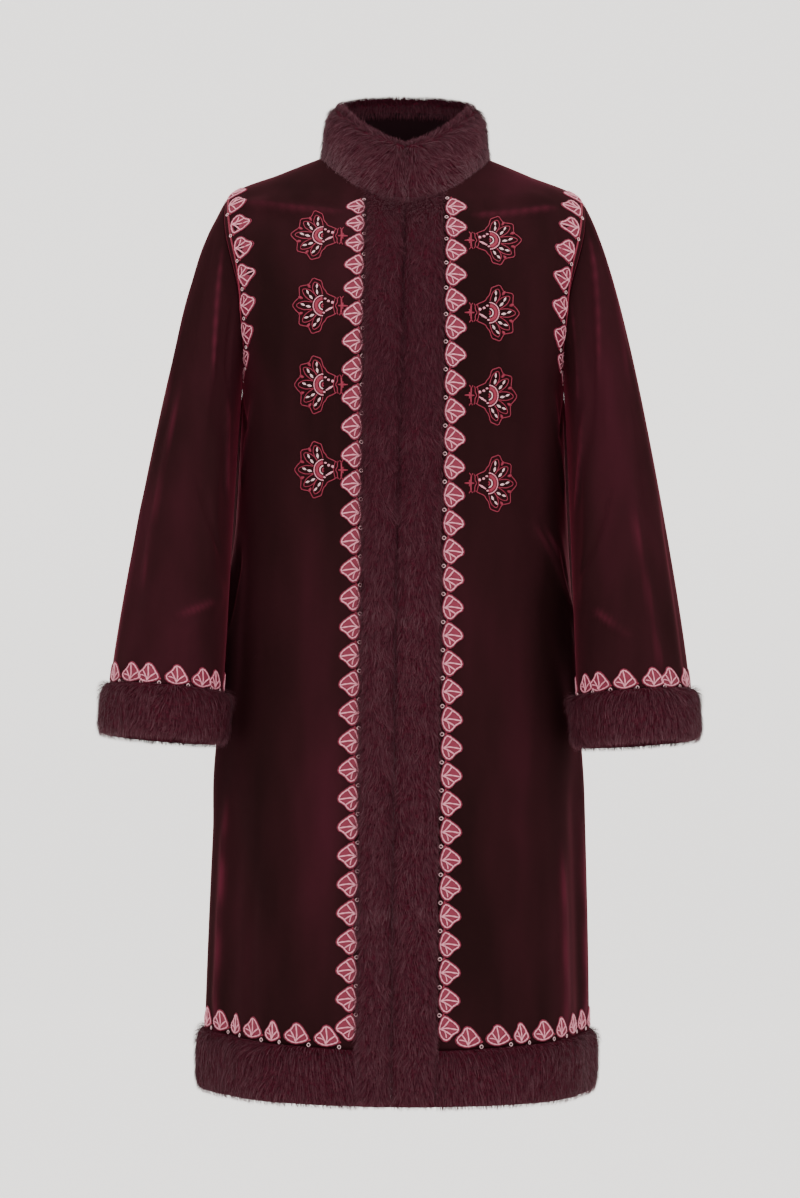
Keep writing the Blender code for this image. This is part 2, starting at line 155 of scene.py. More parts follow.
RIMS = (
    Rim(0.0, 0.0, -41.0, 6.0, 0.0170),
    Rim(22.0, 27.0, -36.0, 18.0, 0.0170),
    Rim(50.0, 55.0, -24.0, 36.0, 0.0175),
    Rim(78.0, 72.0, -6.0, 52.0, 0.0185),
    Rim(95.0, 74.0, 8.0, 57.0, 0.0185),
    Rim(125.0, 62.0, 32.0, 64.0, 0.0140),
    Rim(155.0, 32.0, 45.0, 69.0, 0.0130),
    Rim(180.0, 0.0, 49.0, 70.0, 0.0130),
)
# The soft folds that the solids have too.
BODY_FOLDS = (
    Fold(-38.0, 0.045, -62.0, 0.095, 13.0, 3.0),
    Fold(-36.0, 0.075, -66.0, 0.130, 14.0, -2.5),
    Fold(40.0, 0.050, 64.0, 0.085, 12.0, 2.5),
    Fold(-84.0, 0.500, -80.0, 0.760, 16.0, 4.0),
    Fold(-70.0, 0.480, -66.0, 0.700, 18.0, -3.0),
    Fold(62.0, 0.460, 84.0, 0.620, 15.0, 3.5),
    Fold(52.0, 0.520, 78.0, 0.690, 18.0, -3.0),
    Fold(-76.0, 0.720, -78.0, 1.090, 17.0, 5.0),
    Fold(-58.0, 0.760, -58.0, 1.090, 16.0, -4.0),
    Fold(-40.0, 0.800, -39.0, 1.090, 18.0, 3.5),
    Fold(47.0, 0.760, 46.0, 1.090, 20.0, 3.0),
    Fold(70.0, 0.730, 72.0, 1.090, 18.0, -4.0),
    Fold(84.0, 0.700, 88.0, 1.090, 16.0, 4.0),
    Fold(118.0, 0.420, 122.0, 1.090, 26.0, 6.0),
    Fold(145.0, 0.380, 148.0, 1.090, 28.0, -5.0),
    Fold(-120.0, 0.450, -124.0, 1.090, 26.0, 5.5),
    Fold(-150.0, 0.400, -150.0, 1.090, 28.0, -5.0),
    Fold(176.0, 0.520, 178.0, 1.090, 30.0, 4.5),
    Fold(128.0, 0.120, 112.0, 0.300, 16.0, 3.5),
    Fold(-126.0, 0.130, -112.0, 0.310, 16.0, 3.5),
)
SLEEVE_FOLDS = {
    Side.RIGHT: (
        Fold(70.0, 0.04, 96.0, 0.34, 11.0, 3.5),
        Fold(52.0, 0.30, 48.0, 0.86, 15.0, -3.0),
        Fold(116.0, 0.30, 128.0, 0.62, 14.0, 4.0),
        Fold(150.0, 0.62, 112.0, 0.80, 13.0, 3.0),
        Fold(250.0, 0.20, 214.0, 0.46, 15.0, 4.0),
        Fold(262.0, 0.50, 218.0, 0.66, 15.0, -3.5),
    ),
    Side.LEFT: (
        Fold(44.0, 0.03, 84.0, 0.36, 11.0, 4.0),
        Fold(62.0, 0.06, 112.0, 0.30, 10.0, -3.0),
        Fold(118.0, 0.34, 140.0, 0.66, 14.0, 4.0),
        Fold(60.0, 0.44, 54.0, 0.90, 15.0, -3.0),
        Fold(248.0, 0.22, 212.0, 0.48, 15.0, 4.0),
        Fold(266.0, 0.54, 220.0, 0.70, 15.0, -3.5),
    ),
}
# Finer creases of the velvet alone.
BODY_CREASES = (
    Fold(-34.0, 0.058, -70.0, 0.112, 5.0, 1.8),
    Fold(-30.0, 0.046, -52.0, 0.070, 4.0, -1.2),
    Fold(-60.0, 0.118, -48.0, 0.175, 6.0, -1.2),
    Fold(34.0, 0.062, 60.0, 0.098, 5.0, 1.4),
    Fold(56.0, 0.115, 50.0, 0.165, 6.0, -1.1),
    Fold(58.0, 0.470, 80.0, 0.585, 6.0, 2.0),
    Fold(66.0, 0.500, 84.0, 0.640, 7.0, -1.8),
    Fold(50.0, 0.455, 70.0, 0.540, 5.0, 1.3),
    Fold(73.0, 0.560, 80.0, 0.700, 6.0, 1.6),
    Fold(-82.0, 0.520, -76.0, 0.640, 6.0, 2.0),
    Fold(-72.0, 0.500, -80.0, 0.600, 5.0, -1.4),
    Fold(-64.0, 0.330, -74.0, 0.420, 6.0, 1.3),
    Fold(64.0, 0.320, 76.0, 0.430, 6.0, 1.4),
    Fold(-86.0, 0.330, -66.0, 0.365, 5.0, -1.2),
    Fold(86.0, 0.325, 68.0, 0.372, 5.0, -1.2),
    Fold(-66.0, 0.780, -67.0, 1.060, 9.0, 2.2),
    Fold(-84.0, 0.860, -86.0, 1.060, 7.0, -1.8),
    Fold(-48.0, 0.840, -47.0, 1.060, 8.0, -1.6),
    Fold(58.0, 0.820, 58.0, 1.060, 8.0, 1.8),
    Fold(78.0, 0.800, 79.0, 1.060, 8.0, 1.6),
    Fold(36.0, 0.880, 36.0, 1.060, 7.0, -1.0),
    Fold(110.0, 0.330, 134.0, 0.400, 9.0, 2.2),
    Fold(-112.0, 0.335, -136.0, 0.412, 9.0, 2.0),
    Fold(102.0, 0.345, 122.0, 0.455, 8.0, -1.8),
    Fold(-104.0, 0.340, -120.0, 0.440, 8.0, -1.8),
    Fold(150.0, 0.070, 134.0, 0.150, 9.0, 1.8),
    Fold(-148.0, 0.075, -132.0, 0.160, 9.0, 1.6),
    Fold(168.0, 0.430, 152.0, 0.520, 9.0, 1.6),
    Fold(-166.0, 0.450, -146.0, 0.530, 9.0, -1.5),
    Fold(106.0, 0.800, 108.0, 1.060, 10.0, -2.0),
    Fold(134.0, 0.740, 136.0, 1.060, 12.0, 2.0),
    Fold(-108.0, 0.780, -110.0, 1.060, 10.0, 2.0),
    Fold(-136.0, 0.760, -137.0, 1.060, 12.0, -2.0),
    Fold(164.0, 0.820, 165.0, 1.060, 11.0, 1.6),
    Fold(99.0, 0.330, 99.0, 0.560, 15.0, 3.3),
    Fold(-99.0, 0.330, -99.0, 0.560, 15.0, 3.3),
)
SLEEVE_CREASES = {
    Side.RIGHT: (
        Fold(58.0, 0.03, 88.0, 0.22, 5.0, 1.8),
        Fold(40.0, 0.05, 66.0, 0.30, 5.0, -1.4),
        Fold(84.0, 0.02, 110.0, 0.16, 5.0, -1.3),
        Fold(24.0, 0.10, 40.0, 0.42, 6.0, 1.3),
        Fold(58.0, 0.36, 54.0, 0.72, 6.0, 1.5),
        Fold(122.0, 0.20, 142.0, 0.38, 6.0, 1.6),
        Fold(104.0, 0.44, 136.0, 0.54, 6.0, -1.6),
        Fold(134.0, 0.68, 98.0, 0.76, 6.0, 1.6),
        Fold(92.0, 0.62, 78.0, 0.92, 7.0, -1.2),
        Fold(30.0, 0.58, 26.0, 0.94, 7.0, 1.2),
        Fold(290.0, 0.06, 262.0, 0.26, 6.0, 1.6),
        Fold(312.0, 0.10, 300.0, 0.42, 7.0, 1.2),
        Fold(236.0, 0.36, 206.0, 0.44, 6.0, -1.6),
        Fold(250.0, 0.46, 214.0, 0.55, 6.0, 1.8),
        Fold(284.0, 0.50, 276.0, 0.90, 8.0, 1.4),
        Fold(240.0, 0.68, 258.0, 0.94, 7.0, -1.3),
    ),
    Side.LEFT: (
        Fold(48.0, 0.03, 82.0, 0.24, 5.0, 1.9),
        Fold(66.0, 0.02, 100.0, 0.20, 5.0, -1.5),
        Fold(34.0, 0.06, 50.0, 0.34, 6.0, 1.4),
        Fold(92.0, 0.03, 118.0, 0.18, 5.0, 1.2),
        Fold(52.0, 0.30, 58.0, 0.60, 6.0, -1.4),
        Fold(118.0, 0.24, 146.0, 0.40, 6.0, 1.7),
        Fold(100.0, 0.46, 138.0, 0.58, 6.0, -1.6),
        Fold(74.0, 0.56, 64.0, 0.92, 7.0, 1.3),
        Fold(128.0, 0.70, 96.0, 0.80, 6.0, 1.5),
        Fold(28.0, 0.62, 24.0, 0.95, 7.0, -1.1),
        Fold(292.0, 0.07, 264.0, 0.28, 6.0, 1.6),
        Fold(314.0, 0.12, 304.0, 0.40, 7.0, -1.2),
        Fold(238.0, 0.34, 208.0, 0.43, 6.0, 1.6),
        Fold(252.0, 0.48, 216.0, 0.57, 6.0, -1.7),
        Fold(282.0, 0.54, 272.0, 0.92, 8.0, 1.4),
        Fold(242.0, 0.70, 256.0, 0.95, 7.0, 1.2),
    ),
}


def through(keys: Sequence[float], values: Sequence[float], at: np.ndarray) -> np.ndarray:
    """Smooth curve through a table's values, which runs on a little past both ends.

    Args:
        keys: the table's first column, rising.
        values: the column to read.
        at: where to read it.

    Returns:
        The values there.
    """
    keys = np.asarray(keys, float)
    values = np.asarray(values, float)
    step = np.diff(keys)
    slope = np.diff(values) / step
    inner = (slope[:-1] * step[1:] + slope[1:] * step[:-1]) / (step[1:] + step[:-1])
    ends = np.concatenate((slope[:1], inner, slope[-1:]))
    i = np.clip(np.searchsorted(keys, at, side="right") - 1, 0, len(step) - 1)
    t = (at - keys[i]) / step[i]
    start = values[i] * (1 + 2 * t) * (1 - t) ** 2 + values[i + 1] * t * t * (3 - 2 * t)
    bend = ends[i] * t * (1 - t) ** 2 - ends[i + 1] * t * t * (1 - t)
    return start + bend * step[i]


def column(table: Sequence[NamedTuple], name: str, at: np.ndarray) -> np.ndarray:
    """One named column of a table, read at the first column's value.

    Args:
        table: the rows.
        name: the column's name.
        at: where to read it.

    Returns:
        The values there.
    """
    return through([row[0] for row in table], [getattr(row, name) for row in table], at)


def soft(value: np.ndarray) -> np.ndarray:
    """Smooth step from 0 to 1."""
    value = np.clip(value, 0.0, 1.0)
    return value * value * (3 - 2 * value)


def unit(vectors: np.ndarray) -> np.ndarray:
    """The vectors at length 1."""
    return vectors / np.maximum(np.linalg.norm(vectors, axis=-1, keepdims=True), 1e-12)


def eased(share: np.ndarray) -> np.ndarray:
    """Shares from 0 to 1, drawn towards both ends."""
    return (1 - np.cos(np.pi * share)) / 2


def rounded(share: np.ndarray, edge: float) -> np.ndarray:
    """Height across a strip of fur, from edge (a share of 1) up to 1 in the middle."""
    across = 2 * share - 1
    return edge + (1 - edge) * np.sqrt(np.clip(1 - across**4, 0.0, 1.0))


def fold_height(
    folds: Sequence[Fold], turn: np.ndarray, along: np.ndarray, scale: Scale
) -> np.ndarray:
    """Total height of some folds at places on a surface.

    Args:
        folds: the folds.
        turn: turns of the places, in degrees.
        along: places along the surface.
        scale: how large the surface's parameters are.

    Returns:
        Heights in millimetres.
    """
    total = np.zeros(np.broadcast(turn, along).shape)
    for fold in folds:
        a = (np.mod(turn - fold.turn_a + 180.0, 360.0) - 180.0) * scale.turn
        b = (along - fold.along_a) * scale.along
        to_a = (fold.turn_b - fold.turn_a) * scale.turn
        to_b = (fold.along_b - fold.along_a) * scale.along
        run = math.hypot(to_a, to_b)
        share = (a * to_a + b * to_b) / run**2
        across = (a * to_b - b * to_a) / run
        fade = soft(share / 0.3 + 0.5) * soft((1 - share) / 0.3 + 0.5)
        total = total + fold.depth * np.exp(-((across / fold.width) ** 2)) * fade
    return total


def directions(surface: Surface, a: np.ndarray, b: np.ndarray, da: float, db: float) -> np.ndarray:
    """Unit directions square to a surface.

    Args:
        surface: the surface.
        a: its first parameter.
        b: its second parameter.
        da: a small step of the first.
        db: a small step of the second.

    Returns:
        One direction per place.
    """
    along_a = surface(a + da, b) - surface(a - da, b)
    along_b = surface(a, b + db) - surface(a, b - db)
    return unit(np.cross(along_b, along_a))


@dataclass(frozen=True)
class CoatForm:
    """The coat's surfaces, as the solids have them, with the velvet's creases on request."""

    band_width: float = 44.0
    band_pile: float = 15.0
    band_edge: float = 4.0
    hem_pile: float = 15.0
    cuff_pile: float = 15.5
    cuff_height: float = 58.0
    collar_thick: float = 19.0
    lay: float = 0.45
    tip: float = 0.113
    underarm: float = 0.314
    hem: float = 1.0
    end: float = 1.070
    hole_front: float = 26.0
    hole_back: float = 24.0
    sleeve_end: Tuple[float, float, float] = (265.0, -91.0, -619.0)
    sleeve_down: Tuple[float, float, float] = (0.07, -0.09, -0.99)
    straight: float = 0.45
    half_wide: float = 64.0
    half_deep: float = 71.0
    crease: float = 1.9

    def body_smooth(self, turn: np.ndarray, level: np.ndarray) -> np.ndarray:
        """Outer face of the body without folds.

        Args:
            turn: degrees from the centre front, 90 on the wearer's left.
            level: 0 at the neck, 1 at the hem's seam.

        Returns:
            Points in millimetres.
        """
        s, c = np.sin(np.radians(turn)), np.cos(np.radians(turn))
        square = column(RINGS, "square", level)
        reach = (np.abs(s) ** square + np.abs(c) ** square) ** (-1 / square)
        front = c > 0
        side_y, side_z = column(RINGS, "side_y", level), column(RINGS, "side_z", level)
        end_y = np.where(front, column(RINGS, "front_y", level), column(RINGS, "back_y", level))
        end_z = np.where(front, column(RINGS, "front_z", level), column(RINGS, "back_z", level))
        x = column(RINGS, "side_x", level) * s * reach
        y = side_y + (end_y - side_y) * np.abs(c) * reach
        z = side_z + (end_z - side_z) * c * c
        return np.stack((x, y, z), axis=-1)

    def body(self, turn: np.ndarray, level: np.ndarray, creased: bool = False) -> np.ndarray:
        """Outer face of the body cloth with its folds.

        Args:
            turn: degrees from the centre front.
            level: 0 at the neck, 1 at the hem's seam.
            creased: whether the velvet's finer creases are on it.

        Returns:
            Points in millimetres.
        """
        turn, level = np.broadcast_arrays(np.asarray(turn, float), np.asarray(level, float))
        height = fold_height(BODY_FOLDS, turn, level, ON_BODY)
        if creased:
            fine = fold_height(BODY_CREASES, turn, level, ON_BODY) * self.crease
            height = height + fine * soft(level / 0.04) * soft((self.hem + 0.01 - level) / 0.05)
        out = directions(self.body_smooth, turn, level, 0.05, 0.0004)
        return self.body_smooth(turn, level) + out * height[..., None]

    def velvet(self, turn: np.ndarray, level: np.ndarray) -> np.ndarray:
        """Outer face of the body cloth with all its creases."""
        return self.body(turn, level, True)

    def body_out(self, turn: np.ndarray, level: np.ndarray) -> np.ndarray:
        """Outward directions of the body cloth."""
        return directions(self.body, turn, level, 0.05, 0.0004)

    def turn_at(self, x: np.ndarray, level: np.ndarray) -> np.ndarray:
        """Turn at which the front is x millimetres from the centre.

        Args:
            x: millimetres towards the wearer's left.
            level: level on the body.

        Returns:
            Turns in degrees.
        """
        square = column(RINGS, "square", level)
        share = np.abs(x) / column(RINGS, "side_x", level)
        rest = (1 - share**square) ** (1 / square)
        return np.sign(x) * np.degrees(np.arctan2(share, rest))

    def armhole(self, turn: np.ndarray) -> Tuple[np.ndarray, np.ndarray]:
        """The left armhole's seam.

        Args:
            turn: degrees round the armhole; 0 is the shoulder point, 90 the front.

        Returns:
            (turn on the body, level).
        """
        s = np.sin(np.radians(turn))
        cut = np.where(s > 0, -self.hole_front, -self.hole_back) * s
        half = (1 - np.cos(np.radians(turn))) / 2
        return 90.0 + cut, self.tip + half * (self.underarm - self.tip)

    def sleeve_smooth(self, turn: np.ndarray, reach: np.ndarray, side: Side) -> np.ndarray:
        """Outer face of a sleeve without folds.

        Args:
            turn: degrees round the sleeve, 0 outside and 90 in front.
            reach: 0 at the armhole and 1 at the cuff's seam; past 1 it runs straight on.
            side: which sleeve.

        Returns:
            Points in millimetres.
        """
        body_turn, level = self.armhole(turn)
        flip = np.array((side.value, 1.0, 1.0))
        start = self.body(side.value * body_turn, level)
        down = unit(np.array(self.sleeve_down))
        outward = unit(np.array((1.0, 0.0, 0.0)) - down * down[0])
        forward = np.cross(down, outward)
        forward = forward if forward[1] < 0 else -forward
        c = np.cos(np.radians(turn))[..., None] * self.half_wide
        s = np.sin(np.radians(turn))[..., None] * self.half_deep
        end = (np.array(self.sleeve_end) + outward * c + forward * s) * flip
        round_turn = np.mod(turn, 360.0)
        leave = np.stack([column(LEAVES, name, round_turn) for name in "xyz"], axis=-1)
        hold = column(LEAVES, "hold", round_turn)[..., None]
        length = np.linalg.norm(end - start, axis=-1, keepdims=True)
        first = unit(leave) * flip * hold * length
        last = down * flip * self.straight * length
        t = np.clip(reach, -0.02, 1.0)[..., None]
        past = np.clip(reach - 1.0, 0.0, None)[..., None]
        curve = start * (1 + 2 * t) * (1 - t) ** 2 + end * t * t * (3 - 2 * t)
        curve = curve + first * t * (1 - t) ** 2 - last * t * t * (1 - t)
        return curve + down * flip * past * PAST_SEAM

    def sleeve(self, side: Side, creased: bool = False) -> Surface:
        """The outer face of one sleeve as a function of turn and reach.

        Args:
            side: which sleeve.
            creased: whether the finer creases are on it.

        Returns:
            The surface.
        """

        def smooth(turn: np.ndarray, reach: np.ndarray) -> np.ndarray:
            """The sleeve without folds."""
            return self.sleeve_smooth(turn, reach, side)

        def surface(turn: np.ndarray, reach: np.ndarray) -> np.ndarray:
            """The sleeve with its folds."""
            turn, reach = np.broadcast_arrays(np.asarray(turn, float), np.asarray(reach, float))
            height = fold_height(SLEEVE_FOLDS[side], turn, reach, ON_SLEEVE)
            if creased:
                fine = fold_height(SLEEVE_CREASES[side], turn, reach, ON_SLEEVE)
                height = height + fine * self.crease
            height = height * soft(reach / 0.12) * soft((1.02 - reach) / 0.1)
            out = -side.value * directions(smooth, turn, reach, 0.3, 0.002)
            return smooth(turn, reach) + out * height[..., None]

        return surface

    def sleeve_out(self, side: Side, turn: np.ndarray, reach: np.ndarray) -> np.ndarray:
        """Outward directions of one sleeve.

        Args:
            side: which sleeve.
            turn: degrees round it.
            reach: places along it.

        Returns:
            Unit directions.
        """
        return -side.value * directions(self.sleeve(side), turn, reach, 0.3, 0.004)


def linear(code: str) -> Tuple[float, float, float, float]:
    """An sRGB hex colour as linear RGBA."""
    parts = [int(code[i : i + 2], 16) / 255 for i in (1, 3, 5)]
    return (*[p / 12.92 if p <= 0.04045 else ((p + 0.055) / 1.055) ** 2.4 for p in parts], 1.0)


def feed(tree: bpy.types.NodeTree, node: bpy.types.Node, inputs: Dict) -> None:
    """Sets or links a node's inputs.

    Args:
        tree: the material's node tree.
        node: the node.
        inputs: socket name or number to a value, or to the socket that feeds it.
    """
    for key, value in inputs.items():
        if isinstance(value, bpy.types.NodeSocket):
            tree.links.new(value, node.inputs[key])
        else:
            node.inputs[key].default_value = value


def add_node(
    tree: bpy.types.NodeTree,
    kind: str,
    inputs: Optional[Dict] = None,
    stops: Sequence[Tuple[float, str]] = (),
    **settings: object,
) -> bpy.types.Node:
    """Adds a shader node with its settings, values, links and colour stops.

    Args:
        tree: the material's node tree.
        kind: the node's type name.
        inputs: socket name or number to a value, or to the socket that feeds it.
        stops: (position, hex colour) pairs of a node that has a colour band.
        settings: properties of the node itself.

    Returns:
        The node.
    """
    made = tree.nodes.new(kind)
    for key, value in settings.items():
        setattr(made, key, value)
    feed(tree, made, inputs or {})
    for index, (position, code) in enumerate(stops):
        band = made.color_ramp.elements
        stop = band[index] if index < len(band) else band.new(position)
        stop.position = position
        stop.color = linear(code)
    return made


class Look:
    """A material in the making, with the nodes that several finishes use."""

    def __init__(self, name: str) -> None:
        """Makes a material with only its shader and output.

        Args:
            name: what the real material is.
        """
        self.made = bpy.data.materials.new(name)
        self.made.use_nodes = True
        self.tree = self.made.node_tree

    def place(self) -> bpy.types.NodeSocket:
        """Object coordinates."""
        return add_node(self.tree, "ShaderNodeTexCoord").outputs["Object"]

    def noise(
        self, place: bpy.types.NodeSocket, size_mm: float, detail: float = 2.0
    ) -> bpy.types.NodeSocket:
        """Noise with features of about one size.

        Args:
            place: where it is read.
            size_mm: how large its features are.
            detail: how many finer layers it has.

        Returns:
            Its value.
        """
        inputs = {"Vector": place, "Scale": 1 / (size_mm * MM), "Detail": detail}
        return add_node(self.tree, "ShaderNodeTexNoise", inputs).outputs["Fac"]

    def band(
        self, value: bpy.types.NodeSocket, *stops: Tuple[float, str]
    ) -> bpy.types.NodeSocket:
        """Colour of a band of stops at a value."""
        return add_node(self.tree, "ShaderNodeValToRGB", {"Fac": value}, stops).outputs["Color"]

    def bump(
        self, height: bpy.types.NodeSocket, strength: float, deep: float
    ) -> bpy.types.NodeSocket:
        """Bumped normal.

        Args:
            height: the relief.
            strength: its share, from 0 to 1.
            deep: its depth in metres.

        Returns:
            The normal.
        """
        inputs = {"Height": height, "Strength": strength, "Distance": deep}
        return add_node(self.tree, "ShaderNodeBump", inputs).outputs[0]

    def finish(self, roughness: float, specular: float, inputs: Dict) -> bpy.types.Material:
        """Sets the shader and hands the material over.

        Args:
            roughness: the surface's roughness.
            specular: how strongly it mirrors.
            inputs: the shader's other sockets, to values or to what feeds them.

        Returns:
            The material.
        """
        shader = self.tree.nodes["Principled BSDF"]
        feed(self.tree, shader, {"Roughness": roughness, "Specular IOR Level": specular})
        feed(self.tree, shader, inputs)
        return self.made


@dataclass(frozen=True)
class Velvet:
    """Cut-pile velvet: nearly black burgundy that lights up where the pile is seen edge on, with
    highlights painted along its crease ridges.
    """

    dark: str = "#190a0b"
    middle: str = "#220d10"
    light: str = "#2e1017"
    # Colour of the highlight painted along crease ridges.
    crushed: str = "#5e1e30"
    sheen: str = "#b4405a"
    patch_mm: float = 95.0
    drawn_out: Tuple[float, float, float] = (1.0, 1.0, 0.25)
    pile_mm: float = 1.6

    def material(self) -> bpy.types.Material:
        """The velvet's material."""
        look = Look("burgundy_velvet")
        place = look.place()
        # Broad, faint patches where the pile was stroked another way.
        upright = add_node(
            look.tree, "ShaderNodeMapping", {"Vector": place, "Scale": self.drawn_out}
        )
        patches = look.noise(upright.outputs[0], self.patch_mm, 3.0)
        colour = look.band(patches, (0.34, self.dark), (0.52, self.middle), (0.74, self.light))
        # Along each crease ridge a highlight is painted into the base colour, where the pile would
        # catch the light.
        bent = add_node(look.tree, "ShaderNodeAttribute", attribute_name="crushed")
        blend = add_node(
            look.tree,
            "ShaderNodeMix",
            {0: bent.outputs["Fac"], 6: colour, 7: linear(self.crushed)},
            data_type="RGBA",
        )
        # The pile's grain, drawn coarser than its 0.2 mm tufts, which a render can't show.
        grain = look.bump(look.noise(place, self.pile_mm, 3.0), 0.2, 0.0004)
        sockets = {
            "Base Color": blend.outputs[2],
            "Normal": grain,
            "Sheen Weight": 0.36,
            "Sheen Roughness": 0.3,
            "Sheen Tint": linear(self.sheen),
        }
        return look.finish(0.9, 0.02, sockets)


@dataclass(frozen=True)
class Cloth:
    """Plain cloth or thread of one colour, with a fine uneven relief."""

    name: str
    colour: str
    grain_mm: float
    strength: float
    deep: float
    roughness: float
    specular: float

    def material(self) -> bpy.types.Material:
        """The cloth's material, whose grain is drawn coarser than its real threads."""
        look = Look(self.name)
        grain = look.bump(look.noise(look.place(), self.grain_mm), self.strength, self.deep)
        sockets = {"Base Color": linear(self.colour), "Normal": grain}
        return look.finish(self.roughness, self.specular, sockets)


@dataclass(frozen=True)
class FurHide:
    """The dense underfur that shows between the hairs: dark and soft."""

    dark: str = "#1e080d"
    light: str = "#3a101b"
    tuft_mm: float = 3.0

    def material(self) -> bpy.types.Material:
        """The underfur's material."""
        look = Look("burgundy_underfur")
        tufts = look.noise(look.place(), self.tuft_mm, 4.0)
        colour = look.band(tufts, (0.3, self.dark), (0.7, self.light))
        sockets = {"Base Color": colour, "Normal": look.bump(tufts, 0.8, 0.002)}
        return look.finish(1.0, 0.02, sockets)


@dataclass(frozen=True)
class FurHair:
    """Guard hair: dark at the root, wine in the middle and paler at the tip, with a soft shine."""

    root: str = "#1a070b"
    wine: str = "#34101a"
    rose: str = "#401521"
    tip: str = "#63363f"
    edge: str = "#b98a94"
    brightness: Tuple[float, float] = (0.5, 1.9)
    strength: Tuple[float, float] = (1.15, 0.62)

    def material(self) -> bpy.types.Material:
        """The hair's material, whose map runs along each hair in U and by tone in V."""
        look = Look("burgundy_fur_hair")
        uv = add_node(look.tree, "ShaderNodeUVMap", uv_map="hair")
        parts = add_node(look.tree, "ShaderNodeSeparateXYZ", {"Vector": uv.outputs[0]})
        stops = ((0.0, self.root), (0.35, self.wine), (0.75, self.rose), (1.0, self.tip))
        along = look.band(parts.outputs["X"], *stops)
        # Pale hairs are also greyer, as the fur's ticked tips are.
        value, strength = (
            add_node(
                look.tree,
                "ShaderNodeMapRange",
                {"Value": parts.outputs["Y"], "To Min": low, "To Max": high},
            ).outputs[0]
            for low, high in (self.brightness, self.strength)
        )
        tone = add_node(
            look.tree,
            "ShaderNodeHueSaturation",
            {"Color": along, "Saturation": strength, "Value": value},
        )
        # Hair seen edge on, at the fur's outline, looks paler and greyer.
        sockets = {
            "Base Color": tone.outputs[0],
            "Sheen Weight": 0.24,
            "Sheen Roughness": 0.4,
            "Sheen Tint": linear(self.edge),
        }
        return look.finish(0.62, 0.1, sockets)


class Finishes:
    """All materials, each made once."""

    def __init__(self) -> None:
        """Makes the materials."""
        thread = dict(grain_mm=0.9, strength=0.7, deep=0.0006, roughness=0.6, specular=0.3)
        self.velvet = Velvet().material()
        self.lining = Cloth(
            "dark_lining_cloth", "#14070a", 1.6, 0.12, 0.0002, 0.85, 0.04
        ).material()
        self.hide = FurHide().material()
        self.hair = FurHair().material()
        self.pink = Cloth("pale_pink_thread", "#c88391", **thread).material()
        self.rose = Cloth("rose_thread", "#74182e", **thread).material()
        self.deep = Cloth("deep_rose_thread", "#651029", **thread).material()
        self.white = Cloth("off_white_thread", "#cfa9ad", **thread).material()


def new_object(
    name: str, mesh: bpy.types.Mesh, materials: Sequence[bpy.types.Material]
) -> bpy.types.Object:
    """Links a new mesh object at the origin.

    Args:
        name: the piece's name.
        mesh: its mesh, in metres.
        materials: its material slots.

    Returns:
        The object.
    """
    for material in materials:
        mesh.materials.append(material)
    obj = bpy.data.objects.new(name, mesh)
    bpy.context.scene.collection.objects.link(obj)
    return obj


def grid_mesh(
    name: str,
    across: int,
    down: int,
    place: Surface,
    outward: Optional[Surface],
    size: Tuple[float, float],
    closed: Tuple[bool, bool] = (False, False),
    inner_from: Optional[float] = None,
    crushed: Optional[Surface] = None,
) -> bpy.types.Mesh:
    """A grid mapped onto a surface.

    Args:
        name: the mesh's name.
        across: faces in the first direction.
        down: faces in the second.
        place: point in millimetres for shares (u, v) from 0 to 1.
        outward: direction that a face should look at (u, v); None for a closed form.
        size: real width and length for the map, in metres.
        closed: whether each direction closes on itself.
        inner_from: from this u on, faces take the second material.
        crushed: share of highlight painted on the velvet's crease ridges at (u, v), from 0 to 1.

    Returns:
        The mesh, in metres.
    """
    work = bmesh.new()
    bmesh.ops.create_grid(work, x_segments=across, y_segments=down, size=0.5)
    flat = np.array([vert.co[:2] for vert in work.verts]) + 0.5
    points = place(flat[:, 0], flat[:, 1]) * MM
    layer = work.loops.layers.uv.new("cloth")
    for face in work.faces:
        middle = sum(loop.vert.co.x for loop in face.loops) / 4 + 0.5
        if inner_from is not None and middle > inner_from:
            face.material_index = 1
        for loop in face.loops:
            loop[layer].uv = ((loop.vert.co.x + 0.5) * size[0], (loop.vert.co.y + 0.5) * size[1])
        face.smooth = True
    for vert, point in zip(work.verts, points):
        vert.co = point
    if crushed is not None:
        # The share of painted crease highlight, which the velvet's material reads.
        bent = work.verts.layers.float.new("crushed")
        for vert, value in zip(work.verts, crushed(flat[:, 0], flat[:, 1])):
            vert[bent] = value
    if any(closed):
        bmesh.ops.remove_doubles(work, verts=work.verts, dist=1e-6)
    if outward is None:
        rims = [edge for edge in work.edges if edge.is_boundary]
        if rims:
            bmesh.ops.holes_fill(work, edges=rims)
        bmesh.ops.recalc_face_normals(work, faces=work.faces)
    else:
        work.normal_update()
        looks = outward(flat[:, 0], flat[:, 1])
        # A few places say whether the sheet looks inwards as a whole.
        some = zip(list(work.verts)[::37], looks[::37])
        facing = sum(vert.normal.dot(look) for vert, look in some)
        if not any(closed) and facing < 0:
            bmesh.ops.reverse_faces(work, faces=work.faces)
        if any(closed):
            bmesh.ops.recalc_face_normals(work, faces=work.faces)
    mesh = bpy.data.meshes.new(name)
    work.to_mesh(mesh)
    work.free()
    return mesh


def thicken(obj: bpy.types.Object, thickness_mm: float) -> None:
    """Gives a shell its thickness inwards, with the lining on the inner face.

    Args:
        obj: the shell.
        thickness_mm: how thick the cloth and its lining are.
    """
    made = obj.modifiers.new("wall", "SOLIDIFY")
    made.thickness = thickness_mm * MM
    made.offset = -1.0
    made.material_offset = 1
    made.material_offset_rim = 0
    made.use_even_offset = False


class Cut(NamedTuple):
    """A velvet piece laid flat before it was sewn, in metres, and what it hangs from."""

    width: float
    length: float
    area: float
    rests_on: Tuple[str, ...]


